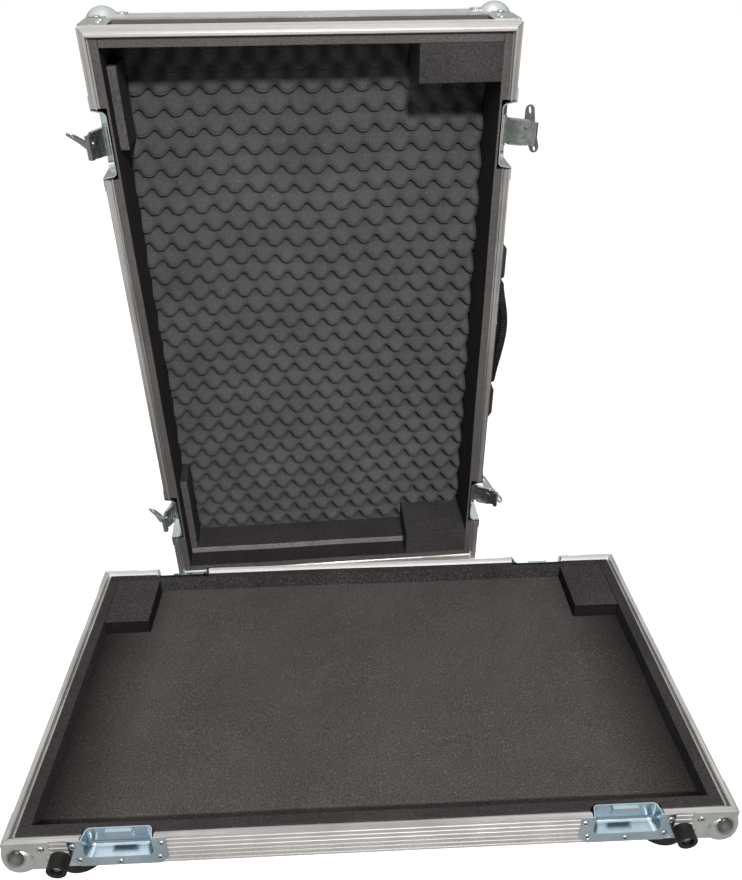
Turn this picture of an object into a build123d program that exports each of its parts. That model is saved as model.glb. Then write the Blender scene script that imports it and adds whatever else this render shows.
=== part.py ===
from build123d import *
import os
from math import asin, atan, cos, degrees, hypot, radians, sin, sqrt

# Flight case for a controller: a shallow base tray with its loose lid stood on end behind it.
# Lengths are millimetres and angles are degrees.

# Outline of the two halves
case_length = 790.0
case_depth = 495.0
rim_height = 62.0
foot_height = 20.5
lid_height = 115.0
lid_gap = 78.0
lid_shift = -52.0
lid_yaw = 2.73

# Sheet metal and boards
leg_thickness = 1.6
board = 7.0
sheet = 1.2
mitre_gap = 0.3
panel_corner = 3.0

# Edge extrusions
rail_leg = 21.0
rail_web = 2.0
rail_depth = 7.5
rail_width = 10.2
rail_band = 6.0
groove_width = 2.6
inner_leg = 4.5
inner_lip_drop = 3.5
tongue_length = 4.5
tongue_width = 2.2
lid_lip_rise = 2.6
angle_flange = 30.0
lid_angle_leg = 42.0
flute_pitch = 6.7
flute_width = 1.4
flute_depth = 0.5

# Ball corners
ball_radius = 22.6
ball_inset = 13.0
corner_leg = 41.0
corner_band = 20.0
under_band = 18.0
corner_long_leg = 48.5
dimple_width = 17.0
dimple_tilt = 30.0
foot_arc_clearance = 3.5

# Feet
foot_top_width = 56.0
foot_taper = 1.0
foot_well = 22.0
foot_well_depth = 13.0
foot_end_inset = 67.0
foot_side_inset = 31.0
side_foot_width = 22.5
side_foot_length = 17.0
side_foot_inset = 56.5
side_foot_drop = 27.5
side_foot_taper = 1.0
side_foot_well = 13.0
side_foot_well_depth = 6.0
foot_round = 2.0
screw_play = 0.3
foot_screw_head = 11.0
foot_screw_rise = 2.4
foot_screw_taper = 20.0
side_screw_taper = 30.0

# Pressed latch dishes
dish_inset = 120.0
dish_width = 76.0
dish_depth = 16.0
dish_draft = 3.0
dish_round = 7.0
dish_floor_round = 6.0
dish_play = 1.0
catch_dish_reach = 27.0
catch_flange_reach = 41.0
latch_dish_reach = 50.0
latch_flange_reach = 62.0
flange_width = 104.0
flange_chamfer = 9.0

# Rivets
rivet_width = 8.6
rivet_height = 1.6
rivet_taper = 40.0
ball_rivet_inset = 5.4
base_end_rivet_inset = 8.0
base_side_rivet_inset = 9.5
flange_rivet_side = 5.0
flange_rivet_rim = 9.0
flange_rivet_foot = 10.0
flange_rivet_slant = 4.5
flange_rivet_middle = 5.2

# Foam of the base
base_lining = 14.0
lining_top_drop = 2.0
floor_foam = 10.9
base_block_width = 63.3
base_block_depth = 98.8

# Foam of the lid
lid_lining = 10.0
lid_lining_drop = 1.5
wave_foam = 28.4
block_drop = 0.5
top_block_width = 97.3
top_block_length = 41.3
bottom_block_width = 98.3
bottom_block_length = 41.8
strip_thickness = 11.0
side_strip_drop = 35.0
top_strip_drop = 28.0
top_strip_inset = 21.8
top_strip_length = 91.0
bottom_strip_length = 134.0

# Corner braces of the lid
brace_drop = 16.0
brace_ball_gap = 8.0
brace_rivet_shares = (0.32, 0.64)
brace_leg = 31.0
brace_slant = 12.0

# Side handle of the lid
handle_shift = -6.0
handle_angle_gap = 1.0
handle_length = 285.0
cap_length = 56.0
cap_width = 34.0
cap_height = 15.5
cap_brow = 3.0
cap_nose = 16.0
cap_nose_height = 4.0
cap_round = 4.0
strap_width = 25.0
strap_thickness = 5.0
strap_seat = 4.5
strap_rise = 20.5
strap_play = 0.3
strap_peak_shift = 12.0
strap_tongue = 34.0
handle_screw_width = 9.0

# Twist latch
hinge_setback = 27.0
pin_depth = 7.5
pin_width = 3.0
barrel_width = 5.6
arm_width = 30.0
arm_length = 34.0
arm_plate = 1.5
arm_flange_drop = 4.3
running_clearance = 0.05
slide_clearance = 0.1
ear_width = 8.0
ear_play = 0.6
ear_plate = 1.5
pin_head = 0.8
pin_head_width = 4.8
arm_tip_round = 4.0
hub_offset = 24.0
hub_width = 14.0
hub_top_width = 18.0
crank_radius = 4.0
crank_width = 4.0
retainer_width = 13.0
retainer_thickness = 1.0
hook_play = 0.3
hook_start = 9.0
hook_reach = 37.0
hook_drop = 5.7
hook_lip = 5.5
hook_slot_play = 1.2
wing_pin_width = 2.0
wing_pin_rise = 2.0
wing_plate = 1.5
wing_span = 55.0
wing_height = 19.0
wing_knuckle = 10.0
wing_knuckle_radius = 1.9
wing_ear = 1.5
wing_ear_radius = 2.3
wing_ear_play = 0.4
wing_dip = 2.0
wing_lobe = 6.2
wing_slot_spacing = 43.0
wing_slot_length = 8.0
wing_slot_width = 3.6

# Keeper in each catch dish
keeper_width = 28.0
keeper_plate = 1.5
keeper_drop = 1.0
keeper_foot = 15.0
keeper_lip_play = 0.7

# How the four latches were left in the photograph: swing, twist and wing fold
latches = {
    "top_plain": (1, -1, 24.0, 125.0, 0.0),
    "top_handle": (1, 1, 57.0, 167.0, 40.0),
    "bottom_plain": (-1, -1, 20.0, 150.0, 0.0),
    "bottom_handle": (-1, 1, 58.0, 135.0, 10.0),
}

# Levels worked out from the driving sizes
half_length = case_length / 2
half_depth = case_depth / 2
base_body = rim_height - foot_height
panel_level = foot_height + leg_thickness
floor_level = panel_level + board
web_top = rim_height - rail_depth + rail_web
web_level = rim_height - rail_depth
wall_inner = leg_thickness + board
lid_floor = lid_height - leg_thickness - board
latch_x = half_length - dish_inset
brace_length = lid_height - corner_leg - brace_ball_gap - brace_drop
handle_level = lid_height - lid_angle_leg - handle_angle_gap - cap_width / 2

# Section planes of the four sides, whose X runs inwards and Y up, and half the length of each side
SIDES = {
    "front": (Plane(origin=(0, -half_depth, 0), x_dir=(0, 1, 0), z_dir=(1, 0, 0)), half_length),
    "rear": (Plane(origin=(0, half_depth, 0), x_dir=(0, -1, 0), z_dir=(-1, 0, 0)), half_length),
    "left": (Plane(origin=(-half_length, 0, 0), x_dir=(1, 0, 0), z_dir=(0, -1, 0)), half_depth),
    "right": (Plane(origin=(half_length, 0, 0), x_dir=(-1, 0, 0), z_dir=(0, 1, 0)), half_depth),
}


def square_run(side, outline, end_inset):
    """A section drawn inwards and up, run along one side and cut square short of its corners."""
    plane, half_run = SIDES[side]
    with BuildPart() as run:
        with BuildSketch(plane):
            with BuildLine():
                Polyline(*outline, close=True)
            make_face()
        extrude(amount=half_run - end_inset, both=True)
    return run.part


def mitred_run(side, outline):
    """A section drawn inwards and up, run along one side and mitred at both corners."""
    plane, half_run = SIDES[side]
    past = 2 * leg_thickness
    reach = half_run + past - mitre_gap
    with BuildPart() as run:
        add(square_run(side, outline, -past))
        with BuildSketch(Plane(origin=plane.origin, x_dir=plane.z_dir, z_dir=(0, 0, 1))) as wedge:
            with BuildLine():
                Polyline((-reach, -past), (0, half_run - mitre_gap), (reach, -past), close=True)
            make_face()
        extrude(to_extrude=wedge.sketch, amount=2 * lid_height, both=True, mode=Mode.INTERSECT)
    return run.part


def fluted(start, end):
    """The outer face of an extrusion from one level to another, with its shallow flutes."""
    count = int(abs(end - start) / flute_pitch)
    way = 1 if end > start else -1
    points = [(0, start)]
    for index in range(count):
        middle = start + way * (index + 0.5) * flute_pitch
        points.append((0, middle - way * flute_width / 2))
        points.append((flute_depth, middle))
        points.append((0, middle + way * flute_width / 2))
    points.append((0, end))
    return points


def upright(x_span, y_span, z_span, mode=Mode.ADD):
    """A rectangular board or opening between three pairs of limits, in the open part."""
    with BuildSketch(Plane.XY.offset(z_span[0])) as outline:
        with Locations(((x_span[0] + x_span[1]) / 2, (y_span[0] + y_span[1]) / 2)):
            Rectangle(x_span[1] - x_span[0], y_span[1] - y_span[0])
    extrude(to_extrude=outline.sketch, amount=z_span[1] - z_span[0], mode=mode)


def clear_dish(faces, reach, depth=dish_depth + dish_play):
    """Room for the pressed dishes behind each face, cut out of the open part."""
    wide = dish_width + 2 * dish_play
    tall = reach + sheet + dish_play / 2
    for face in faces:
        with BuildSketch(face) as mouth:
            for x in (-latch_x, latch_x):
                with Locations((x, 0)):
                    Rectangle(wide, 2 * tall)
        extrude(to_extrude=mouth.sketch, amount=-depth, mode=Mode.SUBTRACT)


def pressed_dish(face, x, reach, flange_reach):
    """A dish pressed from sheet, open at the rim, with its flange lying on the face of the case."""
    floor_width = dish_width - 2 * dish_draft
    floor_reach = reach - dish_draft
    inwards = Axis(face.origin, -face.z_dir)
    with BuildPart() as dish:
        with BuildSketch(face):
            with Locations((x, 0)):
                RectangleRounded(dish_width, 2 * (reach + sheet), dish_round + sheet)
        with BuildSketch(face.offset(-dish_depth)):
            with Locations((x, 0)):
                RectangleRounded(floor_width, 2 * (floor_reach + sheet), dish_round + sheet)
        loft()
        fillet(dish.faces().sort_by(inwards)[-1].edges(), dish_floor_round)
        with BuildSketch(face):
            with Locations((x, 0)):
                Rectangle(flange_width, 2 * flange_reach)
            chamfer(vertices(), flange_chamfer)
        extrude(amount=sheet)
        with BuildPart(mode=Mode.SUBTRACT) as hollow:
            with BuildSketch(face.offset(sheet)):
                with Locations((x, 0)):
                    RectangleRounded(dish_width - 2 * sheet, 2 * reach, dish_round)
            with BuildSketch(face.offset(sheet - dish_depth)):
                with Locations((x, 0)):
                    RectangleRounded(floor_width - 2 * sheet, 2 * floor_reach, dish_round)
            loft()
            fillet(hollow.faces().sort_by(inwards)[-1].edges(), dish_floor_round - sheet)
        with BuildSketch(face.offset(2 * sheet)):
            with Locations((x, flange_reach)):
                Rectangle(flange_width + sheet, 2 * flange_reach)
        extrude(amount=-dish_depth - 4 * sheet, mode=Mode.SUBTRACT)
    return dish.part


def dish_rivet_spots(flange_reach):
    """Rivets of one dish flange: two by the rim, two lower down and one in the middle."""
    side = flange_width / 2 - flange_rivet_side
    low = side - flange_rivet_slant
    foot = flange_rivet_foot - flange_reach
    return [
        (-side, -flange_rivet_rim),
        (side, -flange_rivet_rim),
        (-low, foot),
        (low, foot),
        (0, flange_rivet_middle - flange_reach),
    ]


def rivet_heads(face, spots):
    """Domed rivet heads standing on a face, in the open part."""
    with BuildSketch(face) as heads:
        with Locations(*spots):
            Circle(rivet_width / 2)
    extrude(to_extrude=heads.sketch, amount=rivet_height, taper=rivet_taper)


def ball_corner(leg_x, leg_z, band):
    """A ball corner at the origin of three faces, its legs running along +X, +Y and +Z."""
    span = 2 * max(leg_x, leg_z)
    chord = sqrt(ball_radius**2 - (dimple_width / 2) ** 2)
    dimple_depth = chord - (ball_inset + sheet) / cos(radians(dimple_tilt))
    dimple_radius = (dimple_width**2 / 4 + dimple_depth**2) / (2 * dimple_depth)
    dimple_reach = chord - dimple_depth + dimple_radius
    dimple_y = ball_inset - dimple_reach * cos(radians(dimple_tilt))
    dimple_z = ball_inset + dimple_reach * sin(radians(dimple_tilt))
    with BuildPart() as corner:
        with BuildSketch(Plane.XZ):
            with Locations((-sheet, -sheet)):
                Rectangle(leg_x + sheet, band + sheet, align=(Align.MIN, Align.MIN))
                Rectangle(corner_band + sheet, leg_z + sheet, align=(Align.MIN, Align.MIN))
        extrude(amount=sheet)
        with BuildSketch(Plane.YZ):
            with Locations((-sheet, -sheet)):
                Rectangle(corner_leg + sheet, band + sheet, align=(Align.MIN, Align.MIN))
                Rectangle(corner_band + sheet, leg_z + sheet, align=(Align.MIN, Align.MIN))
        extrude(amount=-sheet)
        with BuildSketch(Plane.XY):
            Rectangle(corner_leg, under_band, align=(Align.MIN, Align.MIN))
            Rectangle(under_band, corner_leg, align=(Align.MIN, Align.MIN))
        extrude(amount=-sheet)
        with Locations((ball_inset, ball_inset, ball_inset)):
            Sphere(ball_radius)
        with Locations((ball_inset, dimple_y, dimple_z)):
            Sphere(dimple_radius, mode=Mode.SUBTRACT)
        Box(span, span, span, align=(Align.MIN, Align.MIN, Align.MIN), mode=Mode.SUBTRACT)
    return corner.part


parts = {}

# Base: floor panel
with BuildPart() as base_bottom_panel:
    upright(
        (leg_thickness - half_length, half_length - leg_thickness),
        (leg_thickness - half_depth, half_depth - leg_thickness),
        (panel_level, floor_level),
    )
    edges_to_round = base_bottom_panel.edges().filter_by(Axis.Z)
    fillet(edges_to_round, panel_corner)
parts["base_bottom_panel"] = base_bottom_panel.part

base_faces = [
    Plane(origin=(0, -half_depth, rim_height), x_dir=(1, 0, 0), z_dir=(0, -1, 0)),
    Plane(origin=(0, half_depth, rim_height), x_dir=(-1, 0, 0), z_dir=(0, 1, 0)),
]

# Base: four low walls under the rim rail
wall_outline = [
    (leg_thickness, floor_level),
    (leg_thickness, web_level),
    (wall_inner, web_level),
    (wall_inner, floor_level),
]
for side in SIDES:
    long_side = side in ("front", "rear")
    with BuildPart() as base_wall:
        add(square_run(side, wall_outline, leg_thickness if long_side else wall_inner))
        if long_side:
            clear_dish(base_faces, catch_dish_reach)
    parts[f"base_{side}_wall"] = base_wall.part

# Base: grooved rim rail, whose groove takes the tongue of the lid
base_rail_outline = fluted(rim_height - rail_leg, rim_height) + [
    (rail_band, rim_height),
    (rail_band, web_top),
    (rail_band + groove_width, web_top),
    (rail_band + groove_width, rim_height - inner_lip_drop),
    (rail_width, rim_height - inner_lip_drop),
    (rail_width, web_level - inner_leg),
    (wall_inner, web_level - inner_leg),
    (wall_inner, web_level),
    (leg_thickness, web_level),
    (leg_thickness, rim_height - rail_leg),
]
for side in SIDES:
    with BuildPart() as base_rail:
        add(mitred_run(side, base_rail_outline))
        if side in ("front", "rear"):
            clear_dish(base_faces, catch_dish_reach)
    parts[f"base_{side}_rail"] = base_rail.part

# Base: edge angles round the bottom
base_angle_outline = fluted(foot_height, rim_height - rail_leg) + [
    (leg_thickness, rim_height - rail_leg),
    (leg_thickness, panel_level),
    (angle_flange, panel_level),
    (angle_flange, foot_height),
]
with BuildPart() as base_edge_angles:
    for side in SIDES:
        add(mitred_run(side, base_angle_outline))
    clear_dish(base_faces, catch_dish_reach)
parts["base_edge_angles"] = base_edge_angles.part

# Base: ball corners, with a hollow cut round each side foot
side_foot_x = half_length - side_foot_inset
side_foot_spots = [(-side_foot_x, -side_foot_drop), (side_foot_x, -side_foot_drop)]
base_corner = ball_corner(corner_long_leg, base_body, base_body)
with BuildPart() as base_ball_corners:
    with Locations((-half_length, -half_depth, foot_height)):
        add(base_corner)
    mirror(about=Plane.YZ)
    mirror(about=Plane.XZ)
    for face in base_faces:
        with BuildSketch(face) as foot_room:
            with Locations(*side_foot_spots):
                Circle(side_foot_width / 2 + foot_arc_clearance)
        extrude(to_extrude=foot_room.sketch, amount=2 * sheet, mode=Mode.SUBTRACT)
parts["base_ball_corners"] = base_ball_corners.part

# Base: pressed catch dishes
with BuildPart() as base_catch_dishes:
    for face in base_faces:
        for x in (-latch_x, latch_x):
            add(pressed_dish(face, x, catch_dish_reach, catch_flange_reach))
parts["base_catch_dishes"] = base_catch_dishes.part

# Base: keepers, bent over so that the latch hook catches behind the lip
hook_back = pin_depth + slide_clearance + arm_plate
lip_outer = hook_back + keeper_lip_play
lip_end = -(hook_reach - hinge_setback - arm_plate)
keeper_back = dish_depth - sheet
keeper_outline = [
    (-keeper_back, -keeper_foot - keeper_drop),
    (-keeper_back, -keeper_drop),
    (-lip_outer, -keeper_drop),
    (-lip_outer, lip_end),
    (-lip_outer - keeper_plate, lip_end),
    (-lip_outer - keeper_plate, -keeper_drop - keeper_plate),
    (-keeper_back + keeper_plate, -keeper_drop - keeper_plate),
    (-keeper_back + keeper_plate, -keeper_foot - keeper_drop),
]
with BuildPart() as base_keepers:
    for face in base_faces:
        for x in (-latch_x, latch_x):
            across = Plane(
                origin=face.from_local_coords((x, 0, 0)), x_dir=face.z_dir, z_dir=-face.x_dir
            )
            with BuildSketch(across):
                with BuildLine():
                    Polyline(*keeper_outline, close=True)
                make_face()
    extrude(amount=keeper_width / 2, both=True)
parts["base_keepers"] = base_keepers.part

# Base: rivets of the dishes and the ball corners
corner_rivet_x = half_length - corner_long_leg + base_side_rivet_inset
with BuildPart() as base_rivets:
    for face in base_faces:
        on_flange = face.offset(sheet)
        for x in (-latch_x, latch_x):
            rivet_heads(on_flange, [(x + dx, dy) for dx, dy in dish_rivet_spots(catch_flange_reach)])
        rivet_heads(on_flange, [(-corner_rivet_x, -rail_leg / 2), (corner_rivet_x, -rail_leg / 2)])
    for x, facing in ((-half_length - sheet, -1), (half_length + sheet, 1)):
        end_face = Plane(origin=(x, 0, rim_height), x_dir=(0, facing, 0), z_dir=(facing, 0, 0))
        end_y = half_depth - corner_leg + base_end_rivet_inset
        rivet_heads(end_face, [(-end_y, -rail_leg / 2), (end_y, -rail_leg / 2)])
parts["base_rivets"] = base_rivets.part

# Base: turned rubber feet, each with a well for its screw
foot_x = half_length - foot_end_inset
foot_y = half_depth - foot_side_inset
foot_spots = [(x, y, 0) for x in (-foot_x, foot_x) for y in (-foot_y, foot_y)]
foot_base = foot_top_width / 2 - foot_taper
with BuildPart() as foot:
    with BuildSketch(Plane.XZ):
        with BuildLine():
            Polyline(
                (foot_well / 2, 0),
                (foot_base - foot_round, 0),
                (foot_base, foot_round),
                (foot_top_width / 2, foot_height),
                (0, foot_height),
                (0, foot_well_depth),
                (foot_well / 2, foot_well_depth),
                close=True,
            )
        make_face()
    revolve(axis=Axis.Z)
with BuildPart() as base_feet:
    with Locations(*foot_spots):
        add(foot.part)
parts["base_feet"] = base_feet.part

# Base: washer-headed screws at the bottom of the foot wells
with BuildPart() as foot_screw:
    with BuildSketch(Plane.XY.offset(foot_well_depth)):
        Circle(foot_well / 2 - screw_play)
    extrude(amount=-leg_thickness)
    with BuildSketch(Plane.XY.offset(foot_well_depth - leg_thickness)):
        Circle(foot_screw_head / 2)
    extrude(amount=-foot_screw_rise, taper=foot_screw_taper)
with BuildPart() as base_foot_screws:
    with Locations(*foot_spots):
        add(foot_screw.part)
parts["base_foot_screws"] = base_foot_screws.part

# Base: small rubber feet on the front side, on which the closed case is stood upright
front_face = base_faces[0]
well_floor = front_face.offset(side_foot_length - side_foot_well_depth)
with BuildPart() as side_feet:
    with BuildSketch(front_face):
        with Locations(*side_foot_spots):
            Circle(side_foot_width / 2)
    extrude(amount=side_foot_length, taper=side_foot_taper)
    with BuildSketch(front_face.offset(side_foot_length)):
        with Locations(*side_foot_spots):
            Circle(side_foot_well / 2)
    extrude(amount=-side_foot_well_depth, mode=Mode.SUBTRACT)
parts["side_feet"] = side_feet.part

with BuildPart() as side_foot_screws:
    with BuildSketch(well_floor):
        with Locations(*side_foot_spots):
            Circle(side_foot_well / 2 - screw_play)
    extrude(amount=foot_screw_rise, taper=side_screw_taper)
parts["side_foot_screws"] = side_foot_screws.part

# Base: foam floor, cut round the two rear blocks
base_lining_inner = rail_width + base_lining
base_inner_x = half_length - base_lining_inner
base_inner_y = half_depth - base_lining_inner
base_foam_top = rim_height - lining_top_drop
base_block_x = base_inner_x - base_block_width
base_block_y = base_inner_y - base_block_depth
with BuildPart() as base_floor_foam:
    upright(
        (-base_inner_x, base_inner_x),
        (-base_inner_y, base_inner_y),
        (floor_level, floor_level + floor_foam),
    )
    for low, high in ((-base_inner_x, -base_block_x), (base_block_x, base_inner_x)):
        upright((low, high), (base_block_y, base_inner_y), (floor_level, base_foam_top), Mode.SUBTRACT)
parts["base_floor_foam"] = base_floor_foam.part

# Base: foam linings, stepped outwards under the inner leg of the rail
leg_end = web_level - inner_leg
base_lining_outline = [
    (wall_inner, floor_level),
    (wall_inner, leg_end),
    (rail_width, leg_end),
    (rail_width, base_foam_top),
    (base_lining_inner, base_foam_top),
    (base_lining_inner, floor_level),
]
for side in ("front", "rear"):
    with BuildPart() as base_long_lining:
        add(square_run(side, base_lining_outline, rail_width))
        clear_dish(base_faces, catch_dish_reach)
    parts[f"base_{side}_lining"] = base_long_lining.part
with BuildPart() as base_end_linings:
    for side in ("left", "right"):
        add(square_run(side, base_lining_outline, base_lining_inner))
parts["base_end_linings"] = base_end_linings.part

# Base: two foam blocks in the rear corners
with BuildPart() as base_corner_blocks:
    for low, high in ((-base_inner_x, -base_block_x), (base_block_x, base_inner_x)):
        upright((low, high), (base_block_y, base_inner_y), (floor_level, base_foam_top))
parts["base_corner_blocks"] = base_corner_blocks.part

# The lid is modelled lying on its rim, rim at zero and back up, and stood on its end afterwards
lid_parts = {}
lid_faces = [
    Plane(origin=(0, -half_depth, 0), x_dir=(-1, 0, 0), z_dir=(0, -1, 0)),
    Plane(origin=(0, half_depth, 0), x_dir=(1, 0, 0), z_dir=(0, 1, 0)),
]

# Lid: back panel
with BuildPart() as lid_back_panel:
    upright(
        (leg_thickness - half_length, half_length - leg_thickness),
        (leg_thickness - half_depth, half_depth - leg_thickness),
        (lid_floor, lid_height - leg_thickness),
    )
lid_parts["lid_back_panel"] = lid_back_panel.part

# Lid: side and end walls
lid_wall_outline = [
    (leg_thickness, rail_depth),
    (leg_thickness, lid_floor),
    (wall_inner, lid_floor),
    (wall_inner, rail_depth),
]
for side, name in (("front", "lid_plain_side_wall"), ("rear", "lid_handle_side_wall")):
    with BuildPart() as lid_side_wall:
        add(square_run(side, lid_wall_outline, leg_thickness))
        clear_dish(lid_faces, latch_dish_reach)
    lid_parts[name] = lid_side_wall.part
with BuildPart() as lid_end_walls:
    for side in ("left", "right"):
        add(square_run(side, lid_wall_outline, wall_inner))
lid_parts["lid_end_walls"] = lid_end_walls.part

# Lid: tongued rim rails
tongue_start = rail_band + (groove_width - tongue_width) / 2
tongue_end = tongue_start + tongue_width
lid_rail_outline = fluted(rail_leg, 0) + [
    (tongue_start, 0),
    (tongue_start, -tongue_length),
    (tongue_end, -tongue_length),
    (tongue_end, lid_lip_rise),
    (rail_width, lid_lip_rise),
    (rail_width, rail_depth + inner_leg),
    (wall_inner, rail_depth + inner_leg),
    (wall_inner, rail_depth),
    (leg_thickness, rail_depth),
    (leg_thickness, rail_leg),
]
with BuildPart() as lid_long_rails:
    for side in ("front", "rear"):
        add(mitred_run(side, lid_rail_outline))
    clear_dish(lid_faces, latch_dish_reach)
lid_parts["lid_long_rails"] = lid_long_rails.part
with BuildPart() as lid_end_rails:
    for side in ("left", "right"):
        add(mitred_run(side, lid_rail_outline))
lid_parts["lid_end_rails"] = lid_end_rails.part

# Lid: edge angles round the back
lid_angle_outline = fluted(lid_height - lid_angle_leg, lid_height) + [
    (angle_flange, lid_height),
    (angle_flange, lid_height - leg_thickness),
    (leg_thickness, lid_height - leg_thickness),
    (leg_thickness, lid_height - lid_angle_leg),
]
with BuildPart() as lid_edge_angles:
    for side in SIDES:
        add(mitred_run(side, lid_angle_outline))
lid_parts["lid_edge_angles"] = lid_edge_angles.part

# Lid: corner braces folded round the four corners behind the rim
brace_outline = [
    (-sheet, brace_drop),
    (brace_leg, brace_drop),
    (brace_leg, brace_drop + brace_length - brace_slant),
    (brace_leg - brace_slant, brace_drop + brace_length),
    (-sheet, brace_drop + brace_length),
]
with BuildPart() as lid_corner_braces:
    for plane, away in ((Plane.XZ, sheet), (Plane.YZ, -sheet)):
        with BuildSketch(Plane((-half_length, -half_depth, 0), x_dir=plane.x_dir, z_dir=plane.z_dir)):
            with BuildLine():
                Polyline(*brace_outline, close=True)
            make_face()
        extrude(amount=away)
    mirror(about=Plane.YZ)
    mirror(about=Plane.XZ)
lid_parts["lid_corner_braces"] = lid_corner_braces.part

# Lid: ball corners round the back
lid_corner = mirror(ball_corner(corner_leg, corner_leg, corner_band), about=Plane.XY)
with BuildPart() as lid_ball_corners:
    with Locations((-half_length, -half_depth, lid_height)):
        add(lid_corner)
    mirror(about=Plane.YZ)
    mirror(about=Plane.XZ)
lid_parts["lid_ball_corners"] = lid_ball_corners.part


def hinge_plane(face, x):
    """Frame of one latch: X along its hinge pin, Y towards the rim and Z out of the case."""
    origin = face.from_local_coords((x, -hinge_setback, -pin_depth))
    return Plane(origin=origin, x_dir=face.x_dir, z_dir=face.z_dir)


# Lid: pressed latch dishes, each with two ears that hold the hinge pin
dish_floor = dish_depth - sheet - pin_depth
ear_inner = arm_width / 2 + ear_play
with BuildPart() as lid_latch_dishes:
    for face in lid_faces:
        for x in (-latch_x, latch_x):
            add(pressed_dish(face, x, latch_dish_reach, latch_flange_reach))
            hinge = hinge_plane(face, x)
            for near in (-ear_inner - ear_plate, ear_inner):
                side_on = Plane(
                    origin=hinge.from_local_coords((near, 0, 0)), x_dir=hinge.y_dir, z_dir=hinge.x_dir
                )
                with BuildSketch(side_on) as ear:
                    Circle(ear_width / 2)
                    Rectangle(ear_width, dish_floor, align=(Align.CENTER, Align.MAX))
                    Circle(pin_width / 2, mode=Mode.SUBTRACT)
                extrude(to_extrude=ear.sketch, amount=ear_plate)
lid_parts["lid_latch_dishes"] = lid_latch_dishes.part

# Lid: hinge pins of the latches, headed at both ends
pin_half = ear_inner + ear_plate
with BuildPart() as hinge_pin:
    with BuildSketch(Plane.YZ):
        Circle(pin_width / 2)
    extrude(amount=pin_half, both=True)
    for start, away in ((pin_half, pin_head), (-pin_half, -pin_head)):
        with BuildSketch(Plane.YZ.offset(start)):
            Circle(pin_head_width / 2)
        extrude(amount=away)
with BuildPart() as lid_hinge_pins:
    for face in lid_faces:
        for x in (-latch_x, latch_x):
            add(hinge_pin.part.moved(hinge_plane(face, x).location))
lid_parts["lid_hinge_pins"] = lid_hinge_pins.part

# Lid: rivets of the dishes, braces and ball corners
brace_rivets = [(brace_leg - brace_slant, brace_drop + share * brace_length) for share in brace_rivet_shares]
ball_rivet = corner_leg - ball_rivet_inset
ball_rivets = [
    (ball_rivet, lid_height - corner_band / 2),
    (corner_band / 2, lid_height - ball_rivet),
]
with BuildPart() as lid_rivets:
    for face in lid_faces:
        for x in (-latch_x, latch_x):
            spots = [(x + dx, dy) for dx, dy in dish_rivet_spots(latch_flange_reach)]
            rivet_heads(face.offset(sheet), spots)
    for plane, half_run, half_across in (
        (Plane.XZ, half_length, half_depth),
        (Plane.YZ, half_depth, half_length),
    ):
        for facing in (-1, 1):
            outward = plane.z_dir * facing
            face = Plane(origin=outward * (half_across + sheet), x_dir=plane.x_dir, z_dir=outward)
            up = 1 if face.y_dir.Z > 0 else -1
            spots = [(way * (half_run - along), up * level) for along, level in brace_rivets + ball_rivets
                     for way in (-1, 1)]
            rivet_heads(face, spots)
    back = Plane.XY.offset(lid_height + sheet)
    rivet_heads(back, [(x * (half_length - a), y * (half_depth - b)) for x in (-1, 1) for y in (-1, 1)
                       for a, b in ((ball_rivet, corner_band / 2), (corner_band / 2, ball_rivet))])
lid_parts["lid_rivets"] = lid_rivets.part

# Lid: strap handle held by two screwed caps
handle_face = lid_faces[1]
handle_plane = Plane(
    origin=handle_face.from_local_coords((handle_shift, -handle_level, 0)),
    x_dir=handle_face.x_dir,
    z_dir=-handle_face.y_dir,
)
cap_mouth = handle_length / 2 - cap_length
tongue_end_x = cap_mouth + strap_tongue
with BuildPart() as handle_strap:
    with BuildSketch(handle_plane):
        with BuildLine():
            for lift in (0, strap_thickness):
                Line((-tongue_end_x, strap_seat + lift), (-cap_mouth, strap_seat + lift))
                Spline(
                    (-cap_mouth, strap_seat + lift),
                    (strap_peak_shift, strap_seat + strap_rise + lift),
                    (cap_mouth, strap_seat + lift),
                    tangents=[(1, 0), (1, 0)],
                )
                Line((cap_mouth, strap_seat + lift), (tongue_end_x, strap_seat + lift))
            for end in (-tongue_end_x, tongue_end_x):
                Line((end, strap_seat), (end, strap_seat + strap_thickness))
        make_face()
    extrude(amount=strap_width / 2, both=True)
lid_parts["handle_strap"] = handle_strap.part

cap_outline = [
    (cap_mouth, -leg_thickness),
    (cap_mouth, cap_height - cap_brow),
    (cap_mouth + cap_brow, cap_height),
    (cap_mouth + cap_length - cap_nose, cap_height),
    (cap_mouth + cap_length, cap_nose_height),
    (cap_mouth + cap_length, -leg_thickness),
]
slot_height = strap_thickness + 2 * strap_play
slot_length = strap_tongue + strap_play
with BuildPart() as handle_caps:
    for way in (-1, 1):
        with BuildSketch(handle_plane):
            with BuildLine():
                Polyline(*[(way * x, y) for x, y in cap_outline], close=True)
            make_face()
    extrude(amount=cap_width / 2, both=True)
    outer_end = half_depth + cap_height / 2
    long_edges = handle_caps.edges().filter_by(Axis.X)
    fillet(long_edges.filter_by_position(Axis.Y, outer_end, outer_end + cap_height), cap_round)
    with BuildSketch(handle_plane):
        for way in (-1, 1):
            with Locations((way * (cap_mouth + slot_length / 2), strap_seat + strap_thickness / 2)):
                Rectangle(slot_length, slot_height)
    extrude(amount=strap_width / 2 + strap_play, both=True, mode=Mode.SUBTRACT)
lid_parts["handle_caps"] = handle_caps.part

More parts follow.
